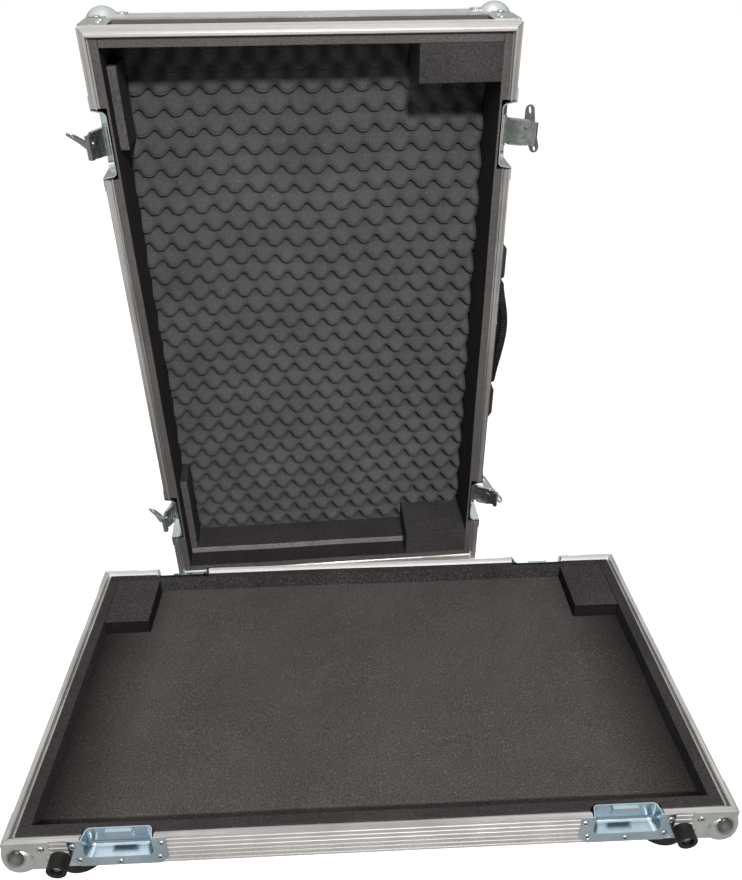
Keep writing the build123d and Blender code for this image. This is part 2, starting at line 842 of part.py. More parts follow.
# Lid: one domed screw through each handle cap
cap_top = handle_face.offset(cap_height)
screw_x = cap_mouth + cap_length - cap_nose - handle_screw_width / 2
with BuildPart() as handle_screws:
    with BuildSketch(cap_top):
        with Locations((handle_shift - screw_x, -handle_level), (handle_shift + screw_x, -handle_level)):
            Circle(handle_screw_width / 2)
    extrude(amount=rivet_height, taper=rivet_taper)
lid_parts["handle_screws"] = handle_screws.part

# Lid: foam against the back
lid_lining_inner = rail_width + lid_lining
lid_inner_x = half_length - lid_lining_inner
lid_inner_y = half_depth - lid_lining_inner
wave_top = lid_floor - wave_foam
with BuildPart() as lid_wave_foam:
    upright((-lid_inner_x, lid_inner_x), (-lid_inner_y, lid_inner_y), (wave_top, lid_floor))
lid_parts["lid_wave_foam"] = lid_wave_foam.part

# Lid: foam linings, stepped outwards above the inner leg of the rail
lid_lining_outline = [
    (rail_width, lid_lining_drop),
    (lid_lining_inner, lid_lining_drop),
    (lid_lining_inner, lid_floor),
    (wall_inner, lid_floor),
    (wall_inner, rail_depth + inner_leg),
    (rail_width, rail_depth + inner_leg),
]
with BuildPart() as lid_side_linings:
    for side in ("front", "rear"):
        add(square_run(side, lid_lining_outline, rail_width))
    clear_dish(lid_faces, latch_dish_reach)
lid_parts["lid_side_linings"] = lid_side_linings.part
with BuildPart() as lid_end_linings:
    for side in ("left", "right"):
        add(square_run(side, lid_lining_outline, lid_lining_inner))
lid_parts["lid_end_linings"] = lid_end_linings.part

# Lid: two foam blocks on the handle side
with BuildPart() as lid_corner_blocks:
    upright(
        (lid_inner_x - top_block_length, lid_inner_x),
        (lid_inner_y - top_block_width, lid_inner_y),
        (block_drop, wave_top),
    )
    upright(
        (-lid_inner_x, bottom_block_length - lid_inner_x),
        (lid_inner_y - bottom_block_width, lid_inner_y),
        (block_drop, wave_top),
    )
lid_parts["lid_corner_blocks"] = lid_corner_blocks.part

# Lid: foam strips against the plain side and along the bottom end
with BuildPart() as lid_side_strips:
    upright(
        (lid_inner_x - top_strip_inset - top_strip_length, lid_inner_x - top_strip_inset),
        (-lid_inner_y, strip_thickness - lid_inner_y),
        (top_strip_drop, wave_top),
    )
    upright(
        (strip_thickness - lid_inner_x, strip_thickness - lid_inner_x + bottom_strip_length),
        (-lid_inner_y, strip_thickness - lid_inner_y),
        (side_strip_drop, wave_top),
    )
lid_parts["lid_side_strips"] = lid_side_strips.part
with BuildPart() as lid_end_strip:
    upright(
        (-lid_inner_x, strip_thickness - lid_inner_x),
        (-lid_inner_y, lid_inner_y - bottom_block_width),
        (side_strip_drop, wave_top),
    )
lid_parts["lid_end_strip"] = lid_end_strip.part

# Latch arm: a folded plate rolled round the hinge pin, bored for the twist hub
arm_top = barrel_width / 2
arm_under = arm_top - arm_plate
arm_side = arm_width / 2
with BuildPart() as latch_arm:
    with BuildSketch(Plane.YZ):
        Circle(barrel_width / 2)
        with Locations((0, arm_under)):
            Rectangle(arm_length, arm_plate, align=(Align.MIN, Align.MIN))
        Circle(pin_width / 2 + running_clearance, mode=Mode.SUBTRACT)
    extrude(amount=arm_side, both=True)
    fillet(latch_arm.edges().filter_by(Axis.Z).group_by(Axis.Y)[-1], arm_tip_round)
    with BuildSketch(Plane.YZ.offset(arm_side)):
        with BuildLine():
            Polyline(
                (barrel_width, arm_under),
                (arm_length - arm_tip_round, arm_under),
                (arm_length - 2 * arm_tip_round, arm_under - arm_flange_drop / 2),
                (barrel_width + arm_flange_drop, arm_under - arm_flange_drop),
                close=True,
            )
        make_face()
    extrude(amount=-arm_plate)
    mirror(about=Plane.YZ)
    with Locations((0, hub_offset, 0)):
        Hole(hub_width / 2 + running_clearance)

# Latch hook: a flat plate under the arm with a cross slot for the crank, curled round at its tip
hook_top = arm_under - slide_clearance
hook_under = hook_top - arm_plate
hook_bottom = hook_top - hook_drop
hook_half = arm_side - arm_plate - hook_play
slot_centre = hub_offset - crank_radius
with BuildPart() as latch_hook:
    with BuildSketch(Plane.YZ):
        with BuildLine():
            Polyline(
                (hook_start, hook_top),
                (hook_reach, hook_top),
                (hook_reach, hook_bottom),
                (hook_reach - hook_lip, hook_bottom),
                (hook_reach - hook_lip, hook_bottom + arm_plate),
                (hook_reach - arm_plate, hook_bottom + arm_plate),
                (hook_reach - arm_plate, hook_under),
                (hook_start, hook_under),
                close=True,
            )
        make_face()
    extrude(amount=hook_half, both=True)
    with BuildSketch(Plane.XY.offset(hook_top)):
        with Locations((0, slot_centre)):
            Rectangle(
                2 * crank_radius + crank_width + 2 * running_clearance + hook_play,
                crank_width + 2 * hook_slot_play,
            )
    extrude(amount=-arm_plate, mode=Mode.SUBTRACT)

# Twist rotor: hub through the arm, flange and wing ears on top, crank pin and retaining disc below
flange_under = arm_top + slide_clearance
flange_top = flange_under + arm_plate
wing_axis = flange_top + wing_pin_rise
retainer_top = hook_under - slide_clearance
wing_ear_inner = wing_knuckle / 2 + slide_clearance
with BuildPart() as twist_rotor:
    for low, high, width in (
        (arm_under, flange_under, hub_width),
        (flange_under, flange_top, hub_top_width),
        (retainer_top - retainer_thickness, retainer_top, retainer_width),
    ):
        with BuildSketch(Plane.XY.offset(low)):
            Circle(width / 2)
        extrude(amount=high - low)
    with BuildSketch(Plane.XY.offset(retainer_top)):
        with Locations((0, -crank_radius)):
            Circle(crank_width / 2)
    extrude(amount=arm_under - retainer_top)
    for near in (wing_ear_inner, -wing_ear_inner - wing_ear):
        with BuildSketch(Plane.YZ.offset(near)):
            with Locations((0, wing_axis)):
                Circle(wing_ear_radius)
                Rectangle(2 * wing_ear_radius, wing_pin_rise, align=(Align.CENTER, Align.MAX))
        extrude(amount=wing_ear)
    with BuildSketch(Plane.YZ):
        with Locations((0, wing_axis)):
            Circle(wing_pin_width / 2)
    extrude(amount=wing_ear_inner + wing_ear / 2, both=True)

# Folding wing: butterfly plate on a bored knuckle, raised along Z and hinged about X
lobe_x = wing_span / 2 - wing_lobe
lobe_z = wing_height - wing_lobe
notch_top = wing_ear_radius + wing_ear_play
waist_x = wing_ear_inner + wing_ear + wing_ear_play


def lobe_tangent(x, z, turn):
    """Where a line from a point just touches one side of the lobe."""
    away = hypot(lobe_x - x, lobe_z - z)
    heading = atan((lobe_z - z) / (lobe_x - x)) + turn * asin(wing_lobe / away)
    length = sqrt(away**2 - wing_lobe**2)
    return (x + length * cos(heading), z + length * sin(heading))


waist_top = (0, wing_height - wing_dip)
waist_low = (waist_x, notch_top)
top_touch = lobe_tangent(*waist_top, 1)
low_touch = lobe_tangent(*waist_low, -1)
with BuildPart() as folding_wing:
    with BuildSketch(Plane.XZ):
        with BuildLine():
            Line(waist_top, top_touch)
            ThreePointArc(top_touch, (lobe_x + wing_lobe, lobe_z), low_touch)
            Line(low_touch, waist_low)
            Line(waist_low, (0, notch_top))
            Line((0, notch_top), waist_top)
        make_face()
        with Locations((wing_slot_spacing / 2, lobe_z)):
            SlotOverall(wing_slot_length, wing_slot_width, mode=Mode.SUBTRACT)
        mirror(about=Plane.YZ)
        Rectangle(wing_knuckle, 2 * notch_top, align=(Align.CENTER, Align.CENTER))
        with Locations((0, -notch_top)):
            Rectangle(wing_knuckle, 2 * notch_top, mode=Mode.SUBTRACT)
    extrude(amount=wing_plate / 2, both=True)
    with BuildSketch(Plane.YZ):
        Circle(wing_knuckle_radius)
    extrude(amount=wing_knuckle / 2, both=True)
    with BuildSketch(Plane.YZ):
        Circle(wing_pin_width / 2 + running_clearance)
    extrude(amount=wing_knuckle, both=True, mode=Mode.SUBTRACT)

# The four latches as they were left: the arm swings, the rotor twists, the hook slides, the wing folds
hook_stroke = 2 * crank_radius
for name, (end, side, swing, twist, fold) in latches.items():
    face = lid_faces[0] if side < 0 else lid_faces[1]
    arm_place = hinge_plane(face, end * side * latch_x).location * Location((0, 0, 0), (swing, 0, 0))
    rotor_place = arm_place * Location((0, hub_offset, 0), (0, 0, twist))
    wing_place = rotor_place * Location((0, 0, wing_axis), (fold, 0, 0))
    hook_place = arm_place * Location((0, hook_stroke * twist / 180, 0))
    lid_parts[f"latch_{name}_arm"] = latch_arm.part.moved(arm_place)
    lid_parts[f"latch_{name}_rotor"] = twist_rotor.part.moved(rotor_place)
    lid_parts[f"latch_{name}_wing"] = folding_wing.part.moved(wing_place)
    lid_parts[f"latch_{name}_hook"] = latch_hook.part.moved(hook_place)

# The lid stands on its lower rim edge and on the two lower ball corners, which lean it forward
ball_level = lid_height - ball_inset
lid_lean = asin(ball_radius / hypot(ball_inset, ball_level)) - atan(ball_inset / ball_level)
turn = radians(lid_yaw)
lid_up = Vector(sin(turn) * sin(lid_lean), -cos(turn) * sin(lid_lean), cos(lid_lean))
lid_out = Vector(-sin(turn) * cos(lid_lean), cos(turn) * cos(lid_lean), sin(lid_lean))
lid_edge = Vector(lid_shift, half_depth + lid_gap, 0)
lid_place = Location(Plane(origin=lid_edge + lid_up * half_length, x_dir=lid_up, z_dir=lid_out))

# The whole is centred front to back between the side feet and the rearmost ball
rear_ball = lid_place * Location((ball_inset - half_length, half_depth - ball_inset, ball_level))
rear_reach = rear_ball.position.Y + ball_radius
front_reach = half_depth + side_foot_length
centring = Location((0, (front_reach - rear_reach) / 2, 0))
print("centring", centring.position.Y, "lean", degrees(lid_lean))

for name, part in lid_parts.items():
    parts[name] = part.moved(lid_place)

os.makedirs("parts", exist_ok=True)
for name, part in parts.items():
    piece = part.moved(centring)
    piece.label = name
    export_step(piece, f"parts/{name}.step")
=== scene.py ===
from math import cos, pi, radians, sin

import bpy
import numpy as np
from mathutils import Matrix, Vector


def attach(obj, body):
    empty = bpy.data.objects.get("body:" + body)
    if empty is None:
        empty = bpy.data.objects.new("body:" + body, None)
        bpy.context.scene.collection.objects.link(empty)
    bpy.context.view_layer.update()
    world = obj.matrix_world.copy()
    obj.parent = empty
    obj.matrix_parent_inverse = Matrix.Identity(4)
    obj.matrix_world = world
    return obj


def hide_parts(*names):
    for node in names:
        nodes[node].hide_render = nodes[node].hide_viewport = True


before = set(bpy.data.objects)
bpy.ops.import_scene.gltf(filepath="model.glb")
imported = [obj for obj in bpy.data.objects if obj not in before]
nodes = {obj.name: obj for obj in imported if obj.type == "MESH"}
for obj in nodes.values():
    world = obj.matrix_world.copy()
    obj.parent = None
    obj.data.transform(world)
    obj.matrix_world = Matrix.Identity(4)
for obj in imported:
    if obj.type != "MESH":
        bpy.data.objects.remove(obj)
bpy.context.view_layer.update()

scene = bpy.context.scene
scene.view_settings.view_transform = "Standard"


# Camera: where the photograph was taken from, a little left of the tray's middle and looking down on it.
# Its place, tilt and focal length come from a fit to the case's edges, and the shift stands for the crop.
camera_place = Vector((-0.017803, -0.937642, 0.81924))
tilt_down = radians(32.4174)
turn_right = radians(2.3529)
roll = radians(-0.6551)
ahead = Vector((sin(turn_right) * cos(tilt_down), cos(turn_right) * cos(tilt_down), -sin(tilt_down)))
level_right = Vector((cos(turn_right), -sin(turn_right), 0))
level_up = level_right.cross(ahead)
right = cos(roll) * level_right + sin(roll) * level_up
up = cos(roll) * level_up - sin(roll) * level_right
camera = bpy.data.objects.new("camera", bpy.data.cameras.new("camera"))
camera.data.lens = 34.659
camera.data.shift_x = -0.00783
camera.data.shift_y = 0.0984
camera.matrix_world = Matrix.Translation(camera_place) @ Matrix((right, up, -ahead)).transposed().to_4x4()
scene.collection.objects.link(camera)
scene.camera = camera


def add_node(material, kind, links=None, **settings):
    """A node of the given kind: links gives each input a value or the output that feeds it."""
    tree = material.node_tree
    node = tree.nodes.new("ShaderNode" + kind)
    for name, value in settings.items():
        setattr(node, name, value)
    for name, value in (links or {}).items():
        if isinstance(value, bpy.types.NodeSocket):
            tree.links.new(value, node.inputs[name])
        else:
            node.inputs[name].default_value = value
    return node


# Floor: a pale sweep that camera rays see as plain white, and that keeps the case's shadow.
# The white comes from its own faint glow, seen by the camera alone, so no more light falls on the case.
floor_width = 24.0
floor_albedo = 0.55
floor_lift = 0.93
floor_mesh = bpy.data.meshes.new("floor")
corners = [(x * floor_width / 2, y * floor_width / 2, 0) for x, y in ((-1, -1), (1, -1), (1, 1), (-1, 1))]
floor_mesh.from_pydata(corners, [], [(0, 1, 2, 3)])
floor = bpy.data.objects.new("floor", floor_mesh)
scene.collection.objects.link(floor)
pale_floor = bpy.data.materials.new("pale_floor")
pale_floor.use_nodes = True
floor_shader = pale_floor.node_tree.nodes["Principled BSDF"]
floor_shader.inputs["Base Color"].default_value = (floor_albedo, floor_albedo, floor_albedo, 1)
floor_shader.inputs["Roughness"].default_value = 1.0
floor_shader.inputs["Specular IOR Level"].default_value = 0.0
floor_shader.inputs["Emission Color"].default_value = (1, 1, 1, 1)
seen = add_node(pale_floor, "LightPath").outputs["Is Camera Ray"]
lift = add_node(pale_floor, "Math", {0: seen, 1: floor_lift}, operation="MULTIPLY")
pale_floor.node_tree.links.new(lift.outputs[0], floor_shader.inputs["Emission Strength"])
floor_mesh.materials.append(pale_floor)


# Room: a dim even light on the case itself, and plain white to the camera. The metal mirrors a room that is
# dark at the horizon and white overhead, which gives its bends their contrast.
ambient = 0.15
wall_level = 0.12
room = bpy.data.worlds.new("room")
room.use_nodes = True
scene.world = room
room_light = room.node_tree.nodes["Background"]
room_light.inputs["Color"].default_value = (1, 1, 1, 1)
ray = add_node(room, "LightPath").outputs
seen = add_node(room, "Math", {0: ray["Is Camera Ray"], 1: ray["Is Transmission Ray"]}, operation="MAXIMUM")
plain_level = add_node(room, "MapRange", {"Value": seen.outputs[0], "To Min": ambient, "To Max": 1.0})
direction = add_node(room, "SeparateXYZ", {"Vector": add_node(room, "TexCoord").outputs["Generated"]})
height = {"Value": direction.outputs["Z"], "From Min": -0.05, "From Max": 0.8, "To Min": wall_level}
mirrored_level = add_node(room, "MapRange", height, interpolation_type="SMOOTHSTEP")
by_ray = {0: ray["Is Glossy Ray"], 2: plain_level.outputs[0], 3: mirrored_level.outputs[0]}
level = add_node(room, "Mix", by_ray)
room.node_tree.links.new(level.outputs[0], room_light.inputs["Strength"])


# Lamps: a small strong one in front and above, whose edge of shadow falls across the lid's foam as in the
# photograph, and two wide weak ones, overhead and at the left, that fill the shadows.
for name, place, aim, width, power, colour in (
    ("front_lamp", (0.37, -2.9, 2.3), (0, 0.1, 0.35), 0.3, 112, (1.0, 0.98, 0.965)),
    ("ceiling_light", (-0.3, -0.2, 3.0), (0, 0, 0.2), 1.8, 6, (1.0, 0.98, 0.95)),
    ("window_light", (-1.9, -1.9, 1.9), (0, 0, 0.35), 1.5, 8, (0.97, 0.98, 1.0)),
):
    lamp = bpy.data.lights.new(name, "AREA")
    lamp.size = width
    lamp.energy = power
    lamp.color = colour
    lamp_object = bpy.data.objects.new(name, lamp)
    lamp_object.location = place
    lamp_object.rotation_euler = (Vector(aim) - Vector(place)).to_track_quat("-Z", "Y").to_euler()
    scene.collection.objects.link(lamp_object)


def plain_finish(name, colour, roughness, metallic=0.0):
    """A principled material with colour, roughness and metalness on the shader's own sockets."""
    material = bpy.data.materials.new(name)
    material.use_nodes = True
    shader = material.node_tree.nodes["Principled BSDF"]
    shader.inputs["Base Color"].default_value = (*colour, 1)
    shader.inputs["Roughness"].default_value = roughness
    shader.inputs["Metallic"].default_value = metallic
    return material


def feed(material, source, socket):
    """Links an output to one socket of the material's shader."""
    shader = material.node_tree.nodes["Principled BSDF"]
    material.node_tree.links.new(source, shader.inputs[socket])


def fed(material, socket):
    """The output that feeds one socket of the material's shader so far."""
    return material.node_tree.nodes["Principled BSDF"].inputs[socket].links[0].from_socket


def placed(material, size, turn=(0, 0, 0)):
    """Object coordinates turned into a piece's own frame and divided by a feature size, which is one number
    or one for each axis."""
    where = add_node(material, "TexCoord").outputs["Object"]
    links = {"Vector": where, "Scale": tuple(np.ones(3) * size), "Rotation": turn}
    return add_node(material, "Mapping", links, vector_type="TEXTURE").outputs["Vector"]


def noise(material, size, detail=2.0, turn=(0, 0, 0)):
    """A soft noise from 0 to 1, whose features have the given size in metres."""
    links = {"Vector": placed(material, size, turn), "Scale": 1.0, "Detail": detail}
    return add_node(material, "TexNoise", links).outputs["Fac"]


def cells(material, width):
    """The distance to the nearest of scattered points about a width apart, as a share of that width."""
    links = {"Vector": placed(material, width), "Scale": 1.0}
    return add_node(material, "TexVoronoi", links).outputs["Distance"]


def two_tone(material, amount, low, high, dark, light):
    """A colour that goes from dark to light as amount goes from low to high."""
    ramp = add_node(material, "ValToRGB", {"Fac": amount})
    ramp.color_ramp.elements[0].position = low
    ramp.color_ramp.elements[0].color = (*dark, 1)
    ramp.color_ramp.elements[1].position = high
    ramp.color_ramp.elements[1].color = (*light, 1)
    return ramp.outputs["Color"]


def times(material, colour, other):
    """One colour multiplied by another."""
    node = add_node(material, "Mix", data_type="RGBA", blend_type="MULTIPLY")
    node.inputs["Factor"].default_value = 1.0
    material.node_tree.links.new(colour, node.inputs[6])
    material.node_tree.links.new(other, node.inputs[7])
    return node.outputs[2]


def between(material, amount, low, high):
    """A number that goes from low to high as amount goes from 0.3 to 0.7, held at both ends."""
    links = {"Value": amount, "From Min": 0.3, "From Max": 0.7, "To Min": low, "To Max": high}
    return add_node(material, "MapRange", links).outputs["Result"]


def relief(material, height, depth, strength):
    """A bump of a given depth in metres."""
    links = {"Height": height, "Distance": depth, "Strength": strength}
    return add_node(material, "Bump", links).outputs["Normal"]


def dress(material, *names):
    """Gives carried-over CAD nodes their material, through their objects' slots."""
    for name in names:
        piece = nodes[name]
        if not piece.material_slots:
            piece.data.materials.append(material)
        for place in piece.material_slots:
            place.material = material


# Boards: plywood faced with a black laminate, whose surface is a fine pebble that keeps a dull sheen.
# The panel lies under the foam and the walls stand in the extrusions, so they show as bands and from behind.
laminate_dark = (0.026, 0.0235, 0.0225)
laminate_light = (0.044, 0.0405, 0.0385)
laminate = plain_finish("black_laminate", laminate_light, 0.5)
pebbles = cells(laminate, 0.0016)
haze = noise(laminate, 0.06, detail=5.0)
haze_colour = two_tone(laminate, haze, 0.35, 0.7, laminate_dark, laminate_light)
pebble_shade = two_tone(laminate, pebbles, 0.0, 0.8, (1, 1, 1), (0.6, 0.6, 0.6))
feed(laminate, times(laminate, haze_colour, pebble_shade), "Base Color")
feed(laminate, between(laminate, haze, 0.4, 0.62), "Roughness")
feed(laminate, relief(laminate, pebbles, 0.0002, 0.6), "Normal")
dress(laminate, "base_bottom_panel", "base_front_wall", "base_rear_wall", "base_left_wall")
dress(laminate, "base_right_wall", "lid_back_panel", "lid_plain_side_wall", "lid_handle_side_wall")
dress(laminate, "lid_end_walls")


# Frames of the two halves. The tray's has the scene's axes, from the tray's middle. The lid's has X up along
# the lid from its middle, Y towards the handle side and Z from the rim to the back: the lid stands on its
# bottom end, leant back and turned a little, as the CAD has it.
base_middle = np.array((0.0, -0.097483, 0.0))
case_half_length = 0.395
case_half_depth = 0.2475
lid_lean = radians(5.43350)
lid_turn = radians(2.73)
lid_foot = np.array((-0.052, 0.228017, 0.0))
lid_axes = np.array((
    (sin(lid_turn) * sin(lid_lean), -cos(lid_turn) * sin(lid_lean), cos(lid_lean)),
    (cos(lid_turn), sin(lid_turn), 0.0),
    (-sin(lid_turn) * cos(lid_lean), cos(lid_turn) * cos(lid_lean), sin(lid_lean)),
))
lid_euler = Matrix(lid_axes.tolist()).transposed().to_euler()
lid_middle = lid_foot + case_half_length * lid_axes[0]


def in_lid(points):
    """Points of the lid's frame, in metres, carried to where the lid stands."""
    return (points + (case_half_length, 0, 0)) @ lid_axes + lid_foot


def in_base(points):
    """Points of the tray's frame, in metres, carried to where the tray stands."""
    return points + base_middle


# Extrusions: grooved rim rails on the tray, tongued ones on the lid, and angles round the other edges, drawn
# in aluminium and anodised, with die lines along them. The tray's rear rail is painted near white and matt
# and the lid's end rails are painted paler, both a painted highlight for the light their faces catch, and
# the die lines are deepest on the side rails.
line_length = 0.3
fine_line = 0.0007
wide_line = 0.0019
along_x = (line_length, fine_line, fine_line)
along_y = (fine_line, line_length, fine_line)
along_x_wide = (line_length, wide_line, wide_line)
along_y_wide = (wide_line, line_length, wide_line)
even_grain = (0.0025, 0.0025, 0.0025)
aluminium_bright = (0.73, 0.715, 0.695)
aluminium_dull = (0.56, 0.545, 0.525)


def drawn_aluminium(
    name, line, turn=(0, 0, 0), bright=aluminium_bright, dull=aluminium_dull,
    metallic=0.78, satin=0.35, groove=0.8,
):
    """Satin metal: two tones by a soft noise, with die lines as noise stretched along the extrusion. A line
    is a length along it and a width across it, and groove is the tone that its bottom keeps."""
    metal = plain_finish(name, bright, satin, metallic)
    cloud = noise(metal, 0.05, detail=6.0, turn=turn)
    lines = noise(metal, line, detail=3.0, turn=turn)
    tone = two_tone(metal, cloud, 0.3, 0.65, dull, bright)
    streak = two_tone(metal, lines, 0.35, 0.62, (groove,) * 3, (1, 1, 1))
    feed(metal, times(metal, tone, streak), "Base Color")
    feed(metal, between(metal, cloud, satin + 0.07, satin - 0.07), "Roughness")
    feed(metal, relief(metal, lines, 0.00006, 0.5), "Normal")
    return metal


# Painted highlight: the rear rail is painted near white and not metallic, and the lid's end rails paler, for
# the light their faces catch.
painted_bright = {"bright": (0.98, 0.975, 0.965), "dull": (0.95, 0.94, 0.93), "metallic": 0.0}
painted_paler = {"bright": (0.86, 0.845, 0.82), "dull": (0.7, 0.685, 0.665), "metallic": 0.6}
dress(drawn_aluminium("rail_aluminium_across", along_x, satin=0.47), "base_front_rail")
dress(drawn_aluminium("rail_aluminium_scoured", along_x, **painted_bright), "base_rear_rail")
dress(drawn_aluminium("rail_aluminium_deep", along_y_wide, groove=0.5), "base_left_rail", "base_right_rail")
dress(drawn_aluminium("rail_aluminium_lid_long", along_x_wide, lid_euler, groove=0.5), "lid_long_rails")
dress(drawn_aluminium("rail_aluminium_lid_end", along_y, lid_euler, **painted_paler), "lid_end_rails")
dress(drawn_aluminium("angle_aluminium", even_grain), "base_edge_angles", "lid_edge_angles")


# Pressed hardware: ball corners, dishes and corner braces, drawn from thin steel, bright zinc plated, and
# riveted on. The plating has a faint blue cast, bluest in the tray's dishes, and soft cloudy patches.
def zinc_plate(name, bright, dull, patch, smooth, worn):
    """Bright plate: cloudy patches of two tones, glossier in the bright ones, with fine scuffs."""
    metal = plain_finish(name, bright, smooth, 1.0)
    cloud = noise(metal, patch, detail=5.0)
    scuffs = noise(metal, (0.004, 0.0005, 0.0008), turn=(0.5, 0.9, 0.3))
    feed(metal, two_tone(metal, cloud, 0.32, 0.66, dull, bright), "Base Color")
    feed(metal, between(metal, cloud, worn, smooth), "Roughness")
    feed(metal, relief(metal, scuffs, 0.00008, 0.35), "Normal")
    return metal


def dimpled_plate(name, middle, turn, dimple):
    """Corner plate whose punched dimples are painted dark, a painted shade for the hollow, and made rough so
    that they keep no glint. The dimples mirror each other about the case's middle, so the distance is taken
    from the absolute coordinates, in the case's own frame, to one dimple."""
    metal = zinc_plate(name, (0.68, 0.71, 0.69), (0.56, 0.59, 0.57), 0.03, 0.28, 0.4)
    where = add_node(metal, "TexCoord").outputs["Object"]
    frame_links = {"Vector": where, "Location": middle, "Rotation": turn}
    own = add_node(metal, "Mapping", frame_links, vector_type="TEXTURE").outputs["Vector"]
    folded = add_node(metal, "VectorMath", {0: own}, operation="ABSOLUTE").outputs["Vector"]
    away = add_node(metal, "VectorMath", {0: folded, 1: dimple}, operation="DISTANCE").outputs["Value"]
    # Painted shade: each dimple is darkened to a fifth of the plate's tone, for the shade in its hollow.
    dimple_shade = two_tone(metal, away, 0.0084, 0.0092, (0.2, 0.2, 0.185), (1, 1, 1))
    feed(metal, times(metal, fed(metal, "Base Color"), dimple_shade), "Base Color")
    outside_dimple = add_node(metal, "MapRange", {"Value": away, "From Min": 0.0065, "From Max": 0.0088})
    rough = add_node(metal, "Mix", {0: outside_dimple.outputs["Result"], 2: 0.75, 3: fed(metal, "Roughness")})
    feed(metal, rough.outputs[0], "Roughness")
    return metal


tray_dimple = (0.382, 0.2504, 0.0427)
lid_dimple = (0.382, 0.2504, 0.0928)
tray_corner_plate = dimpled_plate("tray_corner_plate", base_middle.tolist(), (0, 0, 0), tray_dimple)
lid_corner_plate = dimpled_plate("lid_corner_plate", lid_middle.tolist(), lid_euler, lid_dimple)
dish_plate = zinc_plate("dish_plate", (0.52, 0.62, 0.68), (0.4, 0.5, 0.57), 0.04, 0.14, 0.22)
brace_plate = zinc_plate("brace_plate", (0.6, 0.63, 0.62), (0.48, 0.51, 0.5), 0.03, 0.26, 0.38)
lid_dish_plate = zinc_plate("lid_dish_plate", (0.62, 0.67, 0.69), (0.5, 0.55, 0.57), 0.04, 0.16, 0.26)
dress(tray_corner_plate, "base_ball_corners")
dress(lid_corner_plate, "lid_ball_corners")
dress(brace_plate, "lid_corner_braces")
dress(dish_plate, "base_catch_dishes", "base_keepers")
dress(lid_dish_plate, "lid_latch_dishes")


# Twist latches: arm, rotor, folding wing and hook are stamped steel, with a yellowish zinc tarnish on the
# bends. They stay as the CAD has them, so that each one rides on its own body.
arm_plate = zinc_plate("latch_plate", (0.62, 0.65, 0.63), (0.44, 0.46, 0.41), 0.012, 0.2, 0.36)
turned_plate = zinc_plate("rotor_plate", (0.58, 0.6, 0.58), (0.38, 0.39, 0.36), 0.008, 0.22, 0.34)
for name in ("top_plain", "top_handle", "bottom_plain", "bottom_handle"):
    dress(arm_plate, f"latch_{name}_arm", f"latch_{name}_wing")
    dress(turned_plate, f"latch_{name}_rotor", f"latch_{name}_hook")


# Rivets: hollow blind rivets of bright steel, whose heads are low rings round the dark stub of the mandrel.
# Each stands where the CAD has a plain head, and one small turned ring is repeated for all of them.
def form(name, points, faces, materials, body, stands_for):
    """Puts worked-out points and faces into a smooth mesh that rides on a body and replaces a CAD node."""
    mesh = bpy.data.meshes.new(name)
    mesh.from_pydata(points.tolist(), [], faces)
    mesh.polygons.foreach_set("use_smooth", np.ones(len(faces), bool))
    for material in materials:
        mesh.materials.append(material)
    piece = bpy.data.objects.new(name, mesh)
    scene.collection.objects.link(piece)
    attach(piece, body)
    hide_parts(stands_for)
    return piece


def cad_heads(name, reach):
    """Feet and outward axes of the separate heads in a CAD node: points nearer than reach are one head, its
    axis is the one its points spread along the least, turned from the wide foot to the narrow top."""
    mesh = nodes[name].data
    points = np.empty(len(mesh.vertices) * 3, np.float32)
    mesh.vertices.foreach_get("co", points)
    points = np.unique(np.round(points.reshape(-1, 3).astype(float), 6), axis=0)
    apart = np.linalg.norm(points[:, None] - points[None], axis=2)
    first = (apart < reach).argmax(axis=1)
    heads, index = np.unique(first, return_inverse=True)
    count = np.bincount(index)[:, None]
    centre = np.stack([np.bincount(index, points[:, axis]) for axis in range(3)], 1) / count
    offset = points - centre[index]
    pairs = [(a, b) for a in range(3) for b in range(3)]
    spread = np.stack([np.bincount(index, offset[:, a] * offset[:, b]) for a, b in pairs], 1)
    axes = np.linalg.eigh(spread.reshape(-1, 3, 3))[1][:, :, 0]
    height = (offset * axes[index]).sum(1)
    radius = np.sqrt(np.maximum((offset**2).sum(1) - height**2, 0))
    lean_in = np.bincount(index, height * radius)
    axes = axes * np.where(lean_in > 0, -1, 1)[:, None]
    height = (offset * axes[index]).sum(1)
    foot = np.full(len(heads), np.inf)
    np.minimum.at(foot, index, height)
    return centre + axes * foot[:, None], axes


def turned(profile, sides, feet, axes):
    """A profile of (radius, height) turned round each axis from each foot, closed to a point at its end."""
    side = np.cross(axes, np.where(np.abs(axes[:, 2:]) < 0.9, (0.0, 0.0, 1.0), (1.0, 0.0, 0.0)))
    side = side / np.linalg.norm(side, axis=1)[:, None]
    other = np.cross(axes, side)
    angle = np.arange(sides) * 2 * pi / sides
    spokes = side[:, None] * np.cos(angle)[None, :, None] + other[:, None] * np.sin(angle)[None, :, None]
    rings = profile[:-1]
    points = feet[:, None, None] + rings[None, :, None, :1] * spokes[:, None]
    points = points + rings[None, :, None, 1:] * axes[:, None, None]
    tips = feet + profile[-1, 1] * axes
    number = np.arange(len(feet) * len(rings) * sides).reshape(len(feet), len(rings), sides)
    after = np.roll(number, -1, 2)
    quads = np.stack((number[:, :-1], after[:, :-1], after[:, 1:], number[:, 1:]), -1)
    tip = number.size + np.arange(len(feet))[:, None] + np.zeros((1, sides), int)
    caps = np.stack((number[:, -1], after[:, -1], tip), -1)
    return np.concatenate((points.reshape(-1, 3), tips)), quads, caps


